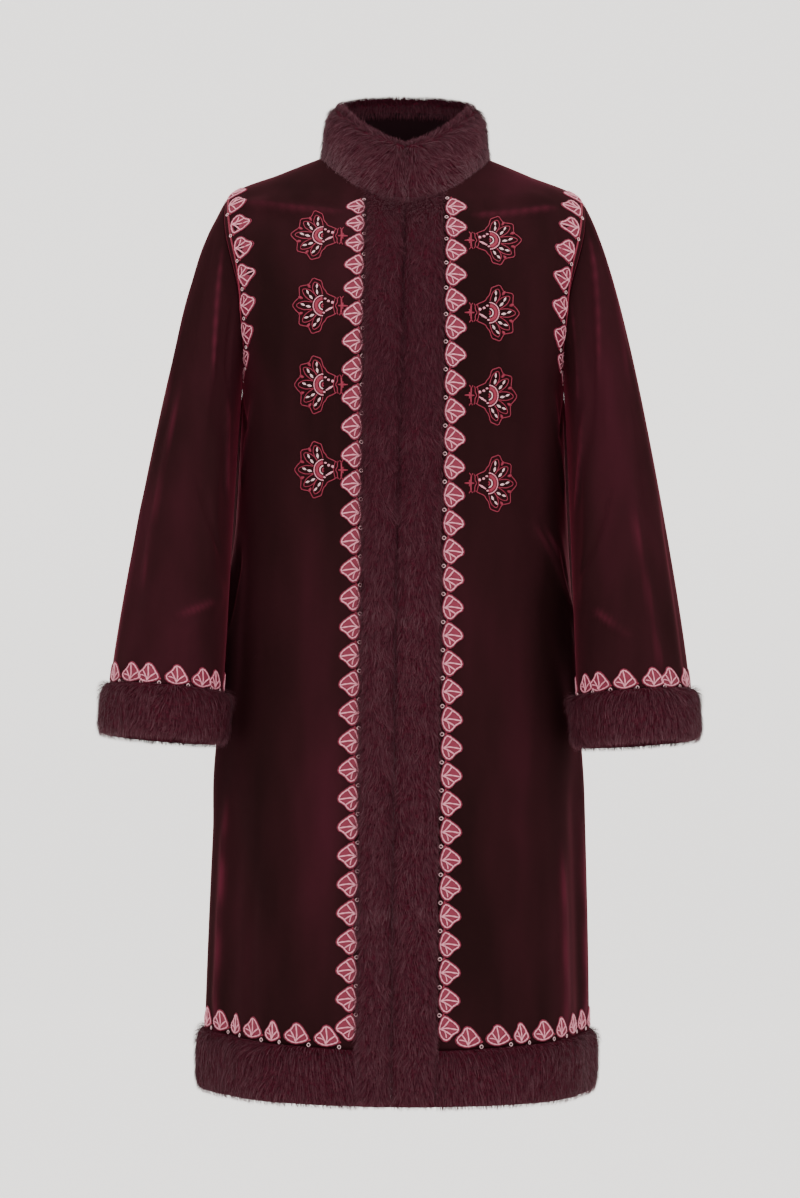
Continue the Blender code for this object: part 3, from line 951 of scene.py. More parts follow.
CUTS = {
    "front_left": Cut(0.26, 1.09, 0.224, ("back_velvet",)),
    "front_right": Cut(0.26, 1.09, 0.224, ("back_velvet",)),
    "back": Cut(0.58, 1.08, 0.515, ("collar_hide",)),
    "sleeve_left": Cut(0.42, 0.59, 0.184, ("front_left_velvet", "back_velvet")),
    "sleeve_right": Cut(0.42, 0.59, 0.184, ("front_right_velvet", "back_velvet")),
}


@dataclass
class VelvetShells:
    """The five velvet pieces as thin creased shells over their solids."""

    form: CoatForm
    finishes: Finishes
    wall: float = 2.2
    seam: float = 0.15
    edge_scale: float = 2.2
    hole_top: float = 0.12
    hole_foot: float = 0.34
    # Strength of the highlight painted on crease ridges.
    bright: float = 0.20
    made: Dict[str, bpy.types.Object] = field(default_factory=dict)

    def level_of(self, share: np.ndarray) -> np.ndarray:
        """Level for a share down a panel: shoulder, armhole and skirt in turn."""
        form = self.form
        hole = form.armhole(self.hole_turn(share))[1]
        upper = share / self.hole_top * form.tip
        skirt = (share - self.hole_foot) / (1 - self.hole_foot)
        lower = form.underarm + skirt * (form.hem - form.underarm)
        middle = np.where(share > self.hole_foot, lower, hole)
        return np.where(share < self.hole_top, upper, middle)

    def hole_turn(self, share: np.ndarray) -> np.ndarray:
        """Turn round the armhole, from shoulder to underarm, for a share down a panel."""
        down = (share - self.hole_top) / (self.hole_foot - self.hole_top)
        return np.clip(down, 0.0, 1.0) * 180.0

    def edge_of(self, share: np.ndarray, front: bool) -> np.ndarray:
        """Turn of a panel's outer edge, cut back at the armhole.

        Args:
            share: share down the panel.
            front: whether it is a front, not the back.

        Returns:
            Turns in degrees.
        """
        hole_turn = self.hole_turn(share)
        return self.form.armhole(hole_turn if front else 360.0 - hole_turn)[0]

    def front_spot(self, side: Side, u: np.ndarray, v: np.ndarray) -> Pair:
        """Where a place of a front lies on the body.

        Args:
            side: which front.
            u: shares across it.
            v: shares down it.

        Returns:
            (turn, level).
        """
        form = self.form
        level = self.level_of(v)
        edge = self.edge_of(v, True) - self.seam / self.edge_scale
        start = side.value * form.turn_at(side.value * (form.band_width + self.seam), level)
        return side.value * (start + (edge - start) * u), level

    def back_spot(self, u: np.ndarray, v: np.ndarray) -> Pair:
        """(turn, level) for shares across and down the back."""
        edge = self.edge_of(v, False) + self.seam / self.edge_scale
        return edge + (360.0 - 2 * edge) * u, self.level_of(v)

    def bent_pile(
        self, folds: Sequence[Fold], turn: np.ndarray, along: np.ndarray, scale: Scale
    ) -> np.ndarray:
        """How much highlight is painted on the ridges of some folds.

        Args:
            folds: the folds; hollows count for little.
            turn: turns of the places, in degrees.
            along: places along the surface.
            scale: the surface's scale.

        Returns:
            Values from 0 to 1.
        """
        # Broad swells of 3 mm and more have no sharp ridge.
        ridges = [
            fold._replace(width=fold.width * 0.55) for fold in folds if 0.0 < fold.depth < 3.0
        ]
        height = fold_height(ridges, turn, along, scale)
        patchy = 0.6 + 0.4 * loose_waves(turn * scale.turn, along * scale.along, 60.0, 5)
        return np.clip(height * self.bright * patchy, 0.0, 0.5)

    def build(self) -> None:
        """Makes and dresses the five shells."""
        form = self.form
        panels = {
            "front_left": (partial(self.front_spot, Side.LEFT), 60, 190, (0.19, 1.05)),
            "front_right": (partial(self.front_spot, Side.RIGHT), 60, 190, (0.19, 1.05)),
            "back": (self.back_spot, 96, 180, (0.58, 1.06)),
        }
        for node, (spot, across, down, size) in panels.items():

            def place(u: np.ndarray, v: np.ndarray) -> np.ndarray:
                """Point of the panel's outer face."""
                return form.velvet(*spot(u, v))

            def outwards(u: np.ndarray, v: np.ndarray) -> np.ndarray:
                """Direction away from the coat's upright axis."""
                return unit(place(u, v) * np.array((1.0, 1.0, 0.0)) + np.array((0.0, 0.0, 1e-3)))

            def bent(u: np.ndarray, v: np.ndarray) -> np.ndarray:
                """Painted crease highlight of the panel."""
                return self.bent_pile(BODY_CREASES, *spot(u, v), ON_BODY)

            mesh = grid_mesh(f"{node}_velvet", across, down, place, outwards, size, crushed=bent)
            self.dress(mesh, node)
        for side in Side:
            surface = form.sleeve(side, True)

            def around(u: np.ndarray, v: np.ndarray) -> np.ndarray:
                """Point of the sleeve's outer face."""
                return surface(u * 360.0, 0.002 + v * 0.9975)

            def look(u: np.ndarray, v: np.ndarray) -> np.ndarray:
                """Outward direction of the sleeve."""
                return form.sleeve_out(side, u * 360.0, v)

            def crushed(u: np.ndarray, v: np.ndarray) -> np.ndarray:
                """Painted crease highlight of the sleeve."""
                return self.bent_pile(SLEEVE_CREASES[side], u * 360.0, v, ON_SLEEVE)

            node = f"sleeve_{side.word}"
            size, loop = (0.43, 0.55), (True, False)
            mesh = grid_mesh(f"{node}_velvet", 80, 140, around, look, size, loop, crushed=crushed)
            self.dress(mesh, node)

    def dress(self, mesh: bpy.types.Mesh, node: str) -> None:
        """Thickens a shell and has it stand for its solid.

        Args:
            mesh: the shell's outer face.
            node: the solid's name.
        """
        obj = new_object(mesh.name, mesh, (self.finishes.velvet, self.finishes.lining))
        thicken(obj, self.wall)
        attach(obj, "root")
        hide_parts(node)
        self.made[node] = obj
        area = sum(face.area for face in obj.data.polygons)
        LOG.info("%s: %d faces, %.4f m2", obj.name, len(obj.data.polygons), area)

    def declare(self, sewn: Dict[str, List[bpy.types.Object]]) -> None:
        """Looks up each shell that has a cut; nothing about the cut or what is sewn on it is
        stated.

        Args:
            sewn: the embroidery on each node's cloth; not used.
        """
        for node, cut in CUTS.items():
            self.made[node]


def loose_waves(a: np.ndarray, b: np.ndarray, size: float, seed: int) -> np.ndarray:
    """Smooth uneven values from -1 to 1 over two lengths, with features of about one size.

    Args:
        a: first length in millimetres.
        b: second length in millimetres.
        size: how large the features are, in millimetres.
        seed: which pattern.

    Returns:
        The values.
    """
    rng = np.random.default_rng(seed)
    total = np.zeros(np.broadcast(a, b).shape)
    for _ in range(7):
        angle, phase, stretch = rng.random(3) * (2 * math.pi, 2 * math.pi, 1.0)
        rate = 2 * math.pi / (size * (0.7 + stretch))
        total = total + np.sin((a * math.cos(angle) + b * math.sin(angle)) * rate + phase)
    return np.clip(total / 3.0, -1.0, 1.0)


@dataclass
class FurStrip:
    """One fur piece: a hide with dense underfur, and guard hairs that stand out of it.

    inner and full give the hide's inner face and the fur's full outer face for shares across
    (u) and along (v) the strip; comb gives how the hair lies, as parts along u and v.
    """

    name: str
    inner: Surface
    full: Surface
    comb: Spots
    width: float
    length: float
    hairs: int
    seed: int
    along: int = 120
    across: int = 14
    ring: bool = False
    hair_mm: float = 13.5
    thick_mm: float = 0.42
    skin_share: float = 0.72
    lift: Tuple[float, float] = (8.0, 30.0)
    rim_share: float = 0.0
    rim_depth: float = 0.3
    lining_from: float = 0.5
    tone: Optional[Surface] = None
    shorter: Optional[Surface] = None
    standing: Optional[Surface] = None
    rests_on: Tuple[str, ...] = ("back_velvet",)

    def section(self, u: np.ndarray, v: np.ndarray) -> np.ndarray:
        """The hide's closed outline: out over the underfur and back along the inner face.

        Args:
            u: shares round the outline.
            v: shares along the strip.

        Returns:
            Points in millimetres.
        """
        over = eased(np.clip(2 * u, 0.0, 1.0))
        under = eased(np.clip(2 - 2 * u, 0.0, 1.0))
        share = np.where(u <= 0.5, over, under)
        inner = self.inner(share, v)
        reach = np.where(u <= 0.5, self.skin_share, 0.0)[..., None]
        return inner + (self.full(share, v) - inner) * reach

    def hide(self, finishes: Finishes) -> bpy.types.Object:
        """Builds the hide."""
        mesh = grid_mesh(
            f"{self.name}_hide",
            2 * self.across,
            self.along,
            self.section,
            None,
            (self.width, self.length),
            (True, self.ring),
            self.lining_from,
        )
        return new_object(f"{self.name}_hide", mesh, (finishes.hide, finishes.lining))

    def rooted(self, u: np.ndarray, v: np.ndarray, inside: bool) -> np.ndarray:
        """Hair roots on one face of the fur, with unit directions along u, along v and outwards.

        Args:
            u: shares across the strip.
            v: shares along it.
            inside: whether the face is the inner one.

        Returns:
            The roots and the three directions, stacked first.
        """
        face, other = (self.inner, self.full) if inside else (self.full, self.inner)
        here = face(u, v)
        pile = here - other(u, v)
        step_u = np.where(u > 0.5, -0.012, 0.012)
        step_v = np.where(v > 0.5, -0.002, 0.002)
        along_u = unit((face(u + step_u, v) - here) * np.sign(step_u)[:, None])
        along_v = unit((face(u, v + step_v) - here) * np.sign(step_v)[:, None])
        out = unit(np.cross(along_u, along_v))
        out = out * np.where(np.sum(out * pile, axis=-1, keepdims=True) < 0, -1.0, 1.0)
        root = here + pile * 0.01 if inside else here - pile * (1.06 - self.skin_share)
        return np.stack((root, along_u, along_v, out))

    def guard_hairs(self, finishes: Finishes) -> bpy.types.Object:
        """Builds the guard hairs as one mesh of narrow bent blades.

        Args:
            finishes: the materials.

        Returns:
            The hairs' object.
        """
        rng = np.random.default_rng(self.seed)
        count = self.hairs
        u, v = rng.random(count), rng.random(count)
        # Some hairs grow over the rim and down the inner face.
        some = int(count * self.rim_share)
        inside = np.arange(count) < some
        u = np.where(inside, 1.0 - self.rim_depth * u**1.4, u)
        parts = (self.rooted(u[some:], v[some:], False),)
        if some:
            parts = (self.rooted(u[:some], v[:some], True),) + parts
        root, along_u, along_v, out = np.concatenate(parts, axis=1)
        a_mm, b_mm = u * self.width * 1000.0, v * self.length * 1000.0
        sway = loose_waves(a_mm, b_mm, 34.0, self.seed + 1) * 0.42
        lock = loose_waves(a_mm, b_mm, 7.0, self.seed + 2)
        part_u, part_v = self.comb(u, v)
        part_u = part_u + sway + lock * 0.16 + rng.normal(0.0, 0.24, count)
        lie = unit(along_u * part_u[:, None] + along_v * (part_v + sway * 0.4)[:, None])
        low, high = self.lift
        rise = low + (high - low) * rng.random(count) ** 1.6
        rise = rise + 8.0 * loose_waves(a_mm, b_mm, 11.0, self.seed + 3)
        size = self.hair_mm * (0.62 + 0.5 * rng.random(count))
        # One hair in fourteen is a little coarser and longer, with a pale tip.
        ticked = (rng.random(count) < 0.07) & ~inside
        size = size * np.where(ticked, 1.1, 1.0)
        if self.standing is not None:
            rise = rise + self.standing(u, v)
        if self.shorter is not None:
            size = size * self.shorter(u, v)
        size = np.where(inside, self.hair_mm * (0.3 + 0.25 * rng.random(count)), size)
        rise = np.radians(rise)
        c, s = np.cos(rise)[:, None], np.sin(rise)[:, None]
        first = lie * c + out * s
        last = lie + out * (0.25 * s)
        middle = root + first * (size * 0.5)[:, None]
        tip = middle + unit(last) * (size * 0.5)[:, None]
        wide = unit(np.cross(lie, out) + out * rng.normal(0.0, 0.35, count)[:, None])
        thick = self.thick_mm * (0.6 + 0.6 * rng.random(count)) * np.where(ticked, 1.4, 1.0)
        half = wide * (thick / 2)[:, None]
        points = np.stack(
            (root - half, root + half, middle + half * 0.8, middle - half * 0.8, tip), axis=1
        )
        tone = 0.27 + 0.15 * rng.normal(0.0, 1.0, count) + 0.15 * lock
        tone = np.where(ticked, 0.72, tone) - 0.12 * inside
        if self.tone is not None:
            tone = tone + self.tone(u, v)
        mesh = self.blades(f"{self.name}_hair", points * MM, np.clip(tone, 0.0, 1.0))
        return new_object(f"{self.name}_hair", mesh, (finishes.hair,))

    @staticmethod
    def blades(name: str, points: np.ndarray, tone: np.ndarray) -> bpy.types.Mesh:
        """Joins many blades of five points each into one mesh.

        Args:
            name: the mesh's name.
            points: five points for each blade, in metres.
            tone: one value from 0 to 1 for each blade.

        Returns:
            The mesh, with a map along each blade and by tone.
        """
        count = len(points)
        corners = np.array((0, 1, 2, 3, 3, 2, 4))
        mesh = bpy.data.meshes.new(name)
        mesh.vertices.add(5 * count)
        mesh.loops.add(7 * count)
        mesh.polygons.add(2 * count)
        mesh.vertices.foreach_set("co", points.astype(np.float32).ravel())
        index = (np.arange(count)[:, None] * 5 + corners).astype(np.int32)
        mesh.loops.foreach_set("vertex_index", index.ravel())
        starts = (np.arange(count)[:, None] * 7 + np.array((0, 4))).astype(np.int32)
        mesh.polygons.foreach_set("loop_start", starts.ravel())
        mesh.update(calc_edges=True)
        layer = mesh.uv_layers.new(name="hair")
        along = np.array((0.0, 0.0, 0.5, 0.5, 0.5, 0.5, 1.0))
        uv = np.stack(np.broadcast_arrays(along, tone[:, None]), axis=-1)
        layer.data.foreach_set("uv", uv.astype(np.float32).ravel())
        mesh.shade_smooth()
        return mesh

    def build(self, finishes: Finishes) -> None:
        """Makes the hide and the hair and has them stand for their solid.

        Args:
            finishes: the materials.
        """
        hide, hair = self.hide(finishes), self.guard_hairs(finishes)
        for obj in (hide, hair):
            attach(obj, "root")
            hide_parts(self.name)
        LOG.info("%s: %d faces, %d hairs", self.name, len(hide.data.polygons), self.hairs)


@dataclass
class FurTrim:
    """Collar, two front bands, hem band and two cuffs."""

    form: CoatForm
    finishes: Finishes
    hide_mm: float = 2.4

    def build(self) -> None:
        """Builds the six fur pieces."""
        for side in Side:
            self.band(side).build(self.finishes)
        self.hem().build(self.finishes)
        for side in Side:
            self.cuff(side).build(self.finishes)
        self.collar().build(self.finishes)

    def under(self, spots: Spots) -> Surface:
        """The inner face of a strip that lies on the body, a hide's thickness under the cloth.

        Args:
            spots: (turn, level) for shares across and along the strip.

        Returns:
            The face.
        """

        def inner(u: np.ndarray, v: np.ndarray) -> np.ndarray:
            """Point of the inner face."""
            turn, level = spots(u, v)
            return self.form.body(turn, level) - self.form.body_out(turn, level) * self.hide_mm

        return inner

    def band(self, side: Side) -> FurStrip:
        """The strip down one front edge, whose hair spreads further on the wearer's right.

        Args:
            side: which front.

        Returns:
            The strip.
        """
        form = self.form
        spread_by, short = (0.40, 0.35) if side is Side.LEFT else (0.75, -0.1)

        def spots(u: np.ndarray, v: np.ndarray) -> Pair:
            """(turn, level) from the bands' meeting line to the outer edge."""
            level = 0.0005 + v * (form.end - 0.0007)
            join = form.turn_at(column(JOINS, "shift", level) + side.value * 0.06, level)
            outside = form.turn_at(side.value * (form.band_width - 0.05), level)
            return join + (outside - join) * u, level

        def full(u: np.ndarray, v: np.ndarray) -> np.ndarray:
            """The fur's outer face, lower at the neck and at the foot."""
            turn, level = spots(u, v)
            height = form.band_edge + (form.band_pile - form.band_edge) * rounded(u, 0.0)
            rise = soft((level - 0.004) / 0.05)
            foot = np.sqrt(1 - 0.8 * soft((level - form.end + 0.02) / 0.02) ** 2)
            out = form.body_out(turn, level)
            return form.body(turn, level) + out * (height * rise * foot)[..., None]

        def comb(u: np.ndarray, v: np.ndarray) -> Pair:
            """Down, towards the other band where they meet, and out at the edge."""
            meet = -0.55 * soft((0.22 - u) / 0.22)
            spread = spread_by * soft((u - 0.55) / 0.45)
            return meet + spread, np.ones_like(u)

        def tone(u: np.ndarray, v: np.ndarray) -> np.ndarray:
            """Paler at the parting and the skins' joins, paler at the outer edge as a painted edge
            light, and darker at the chest.
            """
            parting = 0.20 * soft((0.12 - u) / 0.12) * soft((v - 0.42) / 0.2)
            joins = sum(0.16 * np.exp(-(((v - at) / 0.008) ** 2)) for at in (0.31, 0.50, 0.80))
            return parting + 0.10 * soft((u - 0.75) / 0.25) + joins - 0.22 * soft((0.55 - v) / 0.3)

        def shorter(u: np.ndarray, v: np.ndarray) -> np.ndarray:
            """Shorter hair at the foot and at the outer edge."""
            return 1 - 0.55 * soft((v - 0.985) / 0.015) - short * soft((u - 0.85) / 0.15)

        return FurStrip(
            f"front_band_{side.word}", self.under(spots), full, comb,
            0.052, 1.12, 33500, 11 + side.value,
            along=150, across=9, tone=tone, shorter=shorter,
            standing=lambda u, v: 14.0 * soft((u - 0.86) / 0.14),
            rests_on=(f"front_{side.word}_velvet",),
        )

    def hem(self) -> FurStrip:
        """The strip round the hem, from one front band to the other."""
        form = self.form

        def spots(u: np.ndarray, v: np.ndarray) -> Pair:
            """(turn, level) from the seam down and from the left band round the back."""
            level = form.hem + 0.0003 + (form.end - form.hem - 0.0003) * u
            start = form.turn_at(form.band_width + 0.05, level)
            end = 360.0 + form.turn_at(-form.band_width - 0.05, level)
            return start + (end - start) * v, level

        def full(u: np.ndarray, v: np.ndarray) -> np.ndarray:
            """The fur's outer face, lower beside the bands."""
            turn, level = spots(u, v)
            height = form.hem_pile * rounded(u, 0.2)
            near = np.minimum(v, 1 - v) * 900.0
            height = height * (0.6 + 0.4 * soft(near / 40.0))
            return form.body(turn, level) + form.body_out(turn, level) * height[..., None]

        def comb(u: np.ndarray, v: np.ndarray) -> Pair:
            """Down, swaying a little."""
            return np.ones_like(u), 0.25 * np.sin(v * 40.0)

        return FurStrip(
            "hem_band", self.under(spots), full, comb, 0.085, 1.06, 41000, 31,
            along=220, across=10,
            # The tone is paler at both edges of the strip, a painted edge light.
            tone=lambda u, v: 0.12 * soft((u - 0.6) / 0.4) + 0.10 * soft((0.12 - u) / 0.12),
            shorter=lambda u, v: 1 - 0.4 * soft((u - 0.78) / 0.22),
            standing=lambda u, v: 16.0 * soft((0.16 - u) / 0.16) + 26.0 * soft((u - 0.8) / 0.2),
            rim_share=0.07, rim_depth=0.2, lining_from=0.64,
        )

    def cuff(self, side: Side) -> FurStrip:
        """The ring of fur at one sleeve's end.

        Args:
            side: which sleeve.

        Returns:
            The ring.
        """
        form = self.form
        surface = form.sleeve(side)

        def raised(u: np.ndarray, v: np.ndarray, height: np.ndarray) -> np.ndarray:
            """Point at a height over the sleeve's own face, carried on past its end."""
            turn = v * 360.0
            past = np.full(turn.shape, 1.02)
            out = -side.value * directions(surface, turn, past, 0.3, 0.004)
            return surface(turn, 1.0003 + u * form.cuff_height / PAST_SEAM) + out * height

        def inner(u: np.ndarray, v: np.ndarray) -> np.ndarray:
            """The hide's inner face."""
            return raised(u, v, np.array(-self.hide_mm))

        def full(u: np.ndarray, v: np.ndarray) -> np.ndarray:
            """The fur's outer face."""
            return raised(u, v, (form.cuff_pile * rounded(u, 0.2))[..., None])

        def comb(u: np.ndarray, v: np.ndarray) -> Pair:
            """Down, swaying a little."""
            return np.ones_like(u), 0.2 * np.sin(v * 25.0 + side.value)

        return FurStrip(
            f"cuff_{side.word}", inner, full, comb, 0.078, 0.49, 16000, 51 + side.value,
            along=90, across=10, ring=True,
            # The tone is paler at both edges of the ring, a painted edge light.
            tone=lambda u, v: 0.14 * soft((u - 0.6) / 0.4) + 0.08 * soft((0.15 - u) / 0.15),
            shorter=lambda u, v: 1 - 0.4 * soft((u - 0.78) / 0.22),
            standing=lambda u, v: 16.0 * soft((0.18 - u) / 0.18) + 26.0 * soft((u - 0.8) / 0.2),
            rim_share=0.14, rim_depth=0.3, lining_from=0.70,
            rests_on=(f"sleeve_{side.word}_velvet",),
        )

    def collar(self) -> FurStrip:
        """The stand collar, open at the centre front; u runs up and v from left to right."""
        form = self.form

        def frame_of(v: np.ndarray) -> Tuple[np.ndarray, ...]:
            """(degrees from the front, turn on the body, rim point, foot point) at v."""
            half = 180.0 * (1 - np.abs(2 * v - 1))
            half = np.maximum(half, 0.25)
            sign = np.where(v < 0.5, 1.0, -1.0)
            body_turn = np.where(v < 0.5, half, 360.0 - half)
            top = np.stack([column(RIMS, name, half) for name in "xyz"], axis=-1)
            top = top * np.stack((sign, np.abs(sign), np.abs(sign)), axis=-1)
            level = np.zeros(half.shape)
            foot = form.body(body_turn, level)
            foot = foot + form.body_out(body_turn, level + 0.0005) * form.lay
            return half, body_turn, top, foot

        def inner(u: np.ndarray, v: np.ndarray) -> np.ndarray:
            """The hide's inner face, straight from foot to rim."""
            _, _, top, foot = frame_of(v)
            return foot + (top - foot) * u[..., None]

        def full(u: np.ndarray, v: np.ndarray) -> np.ndarray:
            """The fur's outer face, which hangs over the shoulders at its foot."""
            half, body_turn, top, foot = frame_of(v)
            lower = column(RIMS, "lower", half)
            near = np.abs(form.body(body_turn, lower)[..., 0]) / 50.0
            lift = form.lay + 4.5 * soft(1.25 - near)
            foot_out = form.body(body_turn, lower)
            foot_out = foot_out + form.body_out(body_turn, lower) * lift[..., None]
            rise = unit(top - foot)
            ring = unit(np.cross(np.array((0.0, 0.0, 1.0)), top - np.array((0.0, 4.0, 0.0))))
            outward = unit(np.cross(ring, rise))
            lean = np.sum(outward * foot, axis=-1, keepdims=True)
            outward = outward * np.where(lean < 0, -1, 1)
            ends = np.clip(half / 16.0, 0.0, 1.0)
            corner = 0.62 + 0.38 * np.sqrt(1 - (1 - ends) ** 2)
            thick = form.collar_thick * corner * np.sqrt(np.clip(1 - u**5, 0.02, 1.0))
            bulge = foot + (top - foot) * u[..., None] + outward * thick[..., None]
            hang = soft(u / 0.45)[..., None]
            return foot_out * (1 - hang) + bulge * hang

        def comb(u: np.ndarray, v: np.ndarray) -> Pair:
            """Down from the rim and over it, and away from the centre front."""
            near = np.minimum(v, 1 - v)
            parted = 0.85 * soft((0.24 - near) / 0.2) * soft(near / 0.05)
            parted = parted - 0.3 * soft((0.03 - near) / 0.03)
            return 1.9 * soft((u - 0.86) / 0.1) - 1.0, np.where(v < 0.5, 1.0, -1.0) * parted

        def tone(u: np.ndarray, v: np.ndarray) -> np.ndarray:
            """Paler at the foot beside the throat, most at the sides seen side on from the front,
            where it is a painted edge sheen; darker at the rim.
            """
            side_sheen = np.exp(-(((np.minimum(v, 1 - v) - 0.16) / 0.10) ** 2))
            return 0.34 * soft((0.6 - u) / 0.4) * (0.4 + side_sheen) - 0.10 * soft((u - 0.75) / 0.25)

        return FurStrip(
            "collar", inner, full, comb, 0.105, 0.46, 43000, 71,
            along=130, across=12, hair_mm=14.5, tone=tone, rim_share=0.2, lining_from=0.68,
            shorter=lambda u, v: 1 - 0.35 * soft((0.2 - u) / 0.2) - 0.5 * soft((u - 0.8) / 0.2),
            standing=lambda u, v: 30.0 * soft((u - 0.84) / 0.16),
        )


class Colour(Enum):
    """Threads of the embroidery, by their slot on each embroidered piece."""

    PINK = 0
    ROSE = 1
    DEEP = 2
    WHITE = 3

    @property
    def lift(self) -> float:
        """How far in millimetres this colour's stitches lie over the ground."""
        return {Colour.PINK: 0.55, Colour.ROSE: 0.2, Colour.DEEP: 0.1, Colour.WHITE: 0.5}[self]


@dataclass
class Line:
    """One stitched line of a chart: points in millimetres (along the edge, away from it)."""

    points: Sequence[Tuple[float, float]]
    colour: Colour
    thick: float = 1.4
    closed: bool = False
    beads: float = 0.0
    ends: float = 1.0


@dataclass
class Patch:
    """One filled shape of a chart: its outline, counter-clockwise, in millimetres."""

    points: Sequence[Tuple[float, float]]
    colour: Colour
    lift: float = 0.25


def rounded_line(points: Sequence[Tuple[float, float]], closed: bool) -> np.ndarray:
    """Rounds a charted line by cutting its corners once.

    Args:
        points: the charted points.
        closed: whether the line is a loop.

    Returns:
        The rounded points.
    """
    line = np.array(points, float)
    if len(line) < 3:
        return line
    following = np.roll(line, -1, axis=0)
    near, far = line * 0.78 + following * 0.22, line * 0.22 + following * 0.78
    cut = np.stack((near, far), axis=1).reshape(-1, 2)
    return cut if closed else np.concatenate((line[:1], cut[1:-3], line[-1:]))


@dataclass(frozen=True)
class ShellChart:
    """The edging's shell: a fan of three lobes on a point, three rays, a link and a small ring.

    The first coordinate runs along the edge towards the long lobe, the second away from the fur.
    """

    pitch: float = 31.4
    outline: Tuple[Tuple[float, float], ...] = (
        (0.0, 0.4), (5.6, 1.6), (10.6, 3.4), (14.0, 5.8), (13.0, 9.4), (10.6, 12.4), (7.4, 17.0),
        (4.0, 20.6), (0.6, 22.2), (-2.6, 21.4), (-4.6, 17.4), (-6.8, 14.6), (-9.6, 12.6),
        (-12.0, 9.6), (-11.8, 6.4), (-9.0, 3.4), (-4.8, 1.4),
    )
    ground_lift: float = 0.45

    def lines(self, ring_drop: float) -> List[Line]:
        """All lines of one shell and of the ring beside it.

        Args:
            ring_drop: how far the ring lies from the shell's point towards the fur.

        Returns:
            The lines.
        """
        centre = np.array((0.4, 10.4))
        wider = [tuple(centre + (np.array(p) - centre) * (1.14, 1.14)) for p in self.outline]
        x, y = self.pitch / 2, 1.0 - ring_drop
        return [
            Line(wider, Colour.DEEP, 2.0, True, 0.3),
            Line(self.outline, Colour.PINK, 2.0, True, 0.42),
            Line(((0.0, 1.6), (1.6, 8.0), (0.6, 15.0), (-0.6, 21.4)), Colour.PINK, 1.9, False, 0.3),
            Line(((0.0, 2.0), (4.2, 7.2), (10.8, 12.2)), Colour.PINK, 1.9, False, 0.3),
            Line(((0.0, 3.0), (-2.6, 8.4), (-6.4, 14.4)), Colour.PINK, 1.8, False, 0.3),
            Line(((-0.6, 6.0), (-5.6, 8.0), (-9.6, 8.6)), Colour.PINK, 1.5, False, 0.3),
            Line(((-0.8, 3.2), (1.4, 4.0)), Colour.PINK, 2.6),
            Line(((14.6, 4.4), (17.6, 5.2)), Colour.ROSE, 2.6, False, 0.3),
            Line(((x, y + 2.6), (x - 2.3, y), (x, y - 2.6), (x + 2.3, y)), Colour.WHITE, 1.0, True),
        ]

    def patches(self) -> List[Patch]:
        """The filled ground of one shell."""
        return [Patch(self.outline, Colour.ROSE, self.ground_lift)]


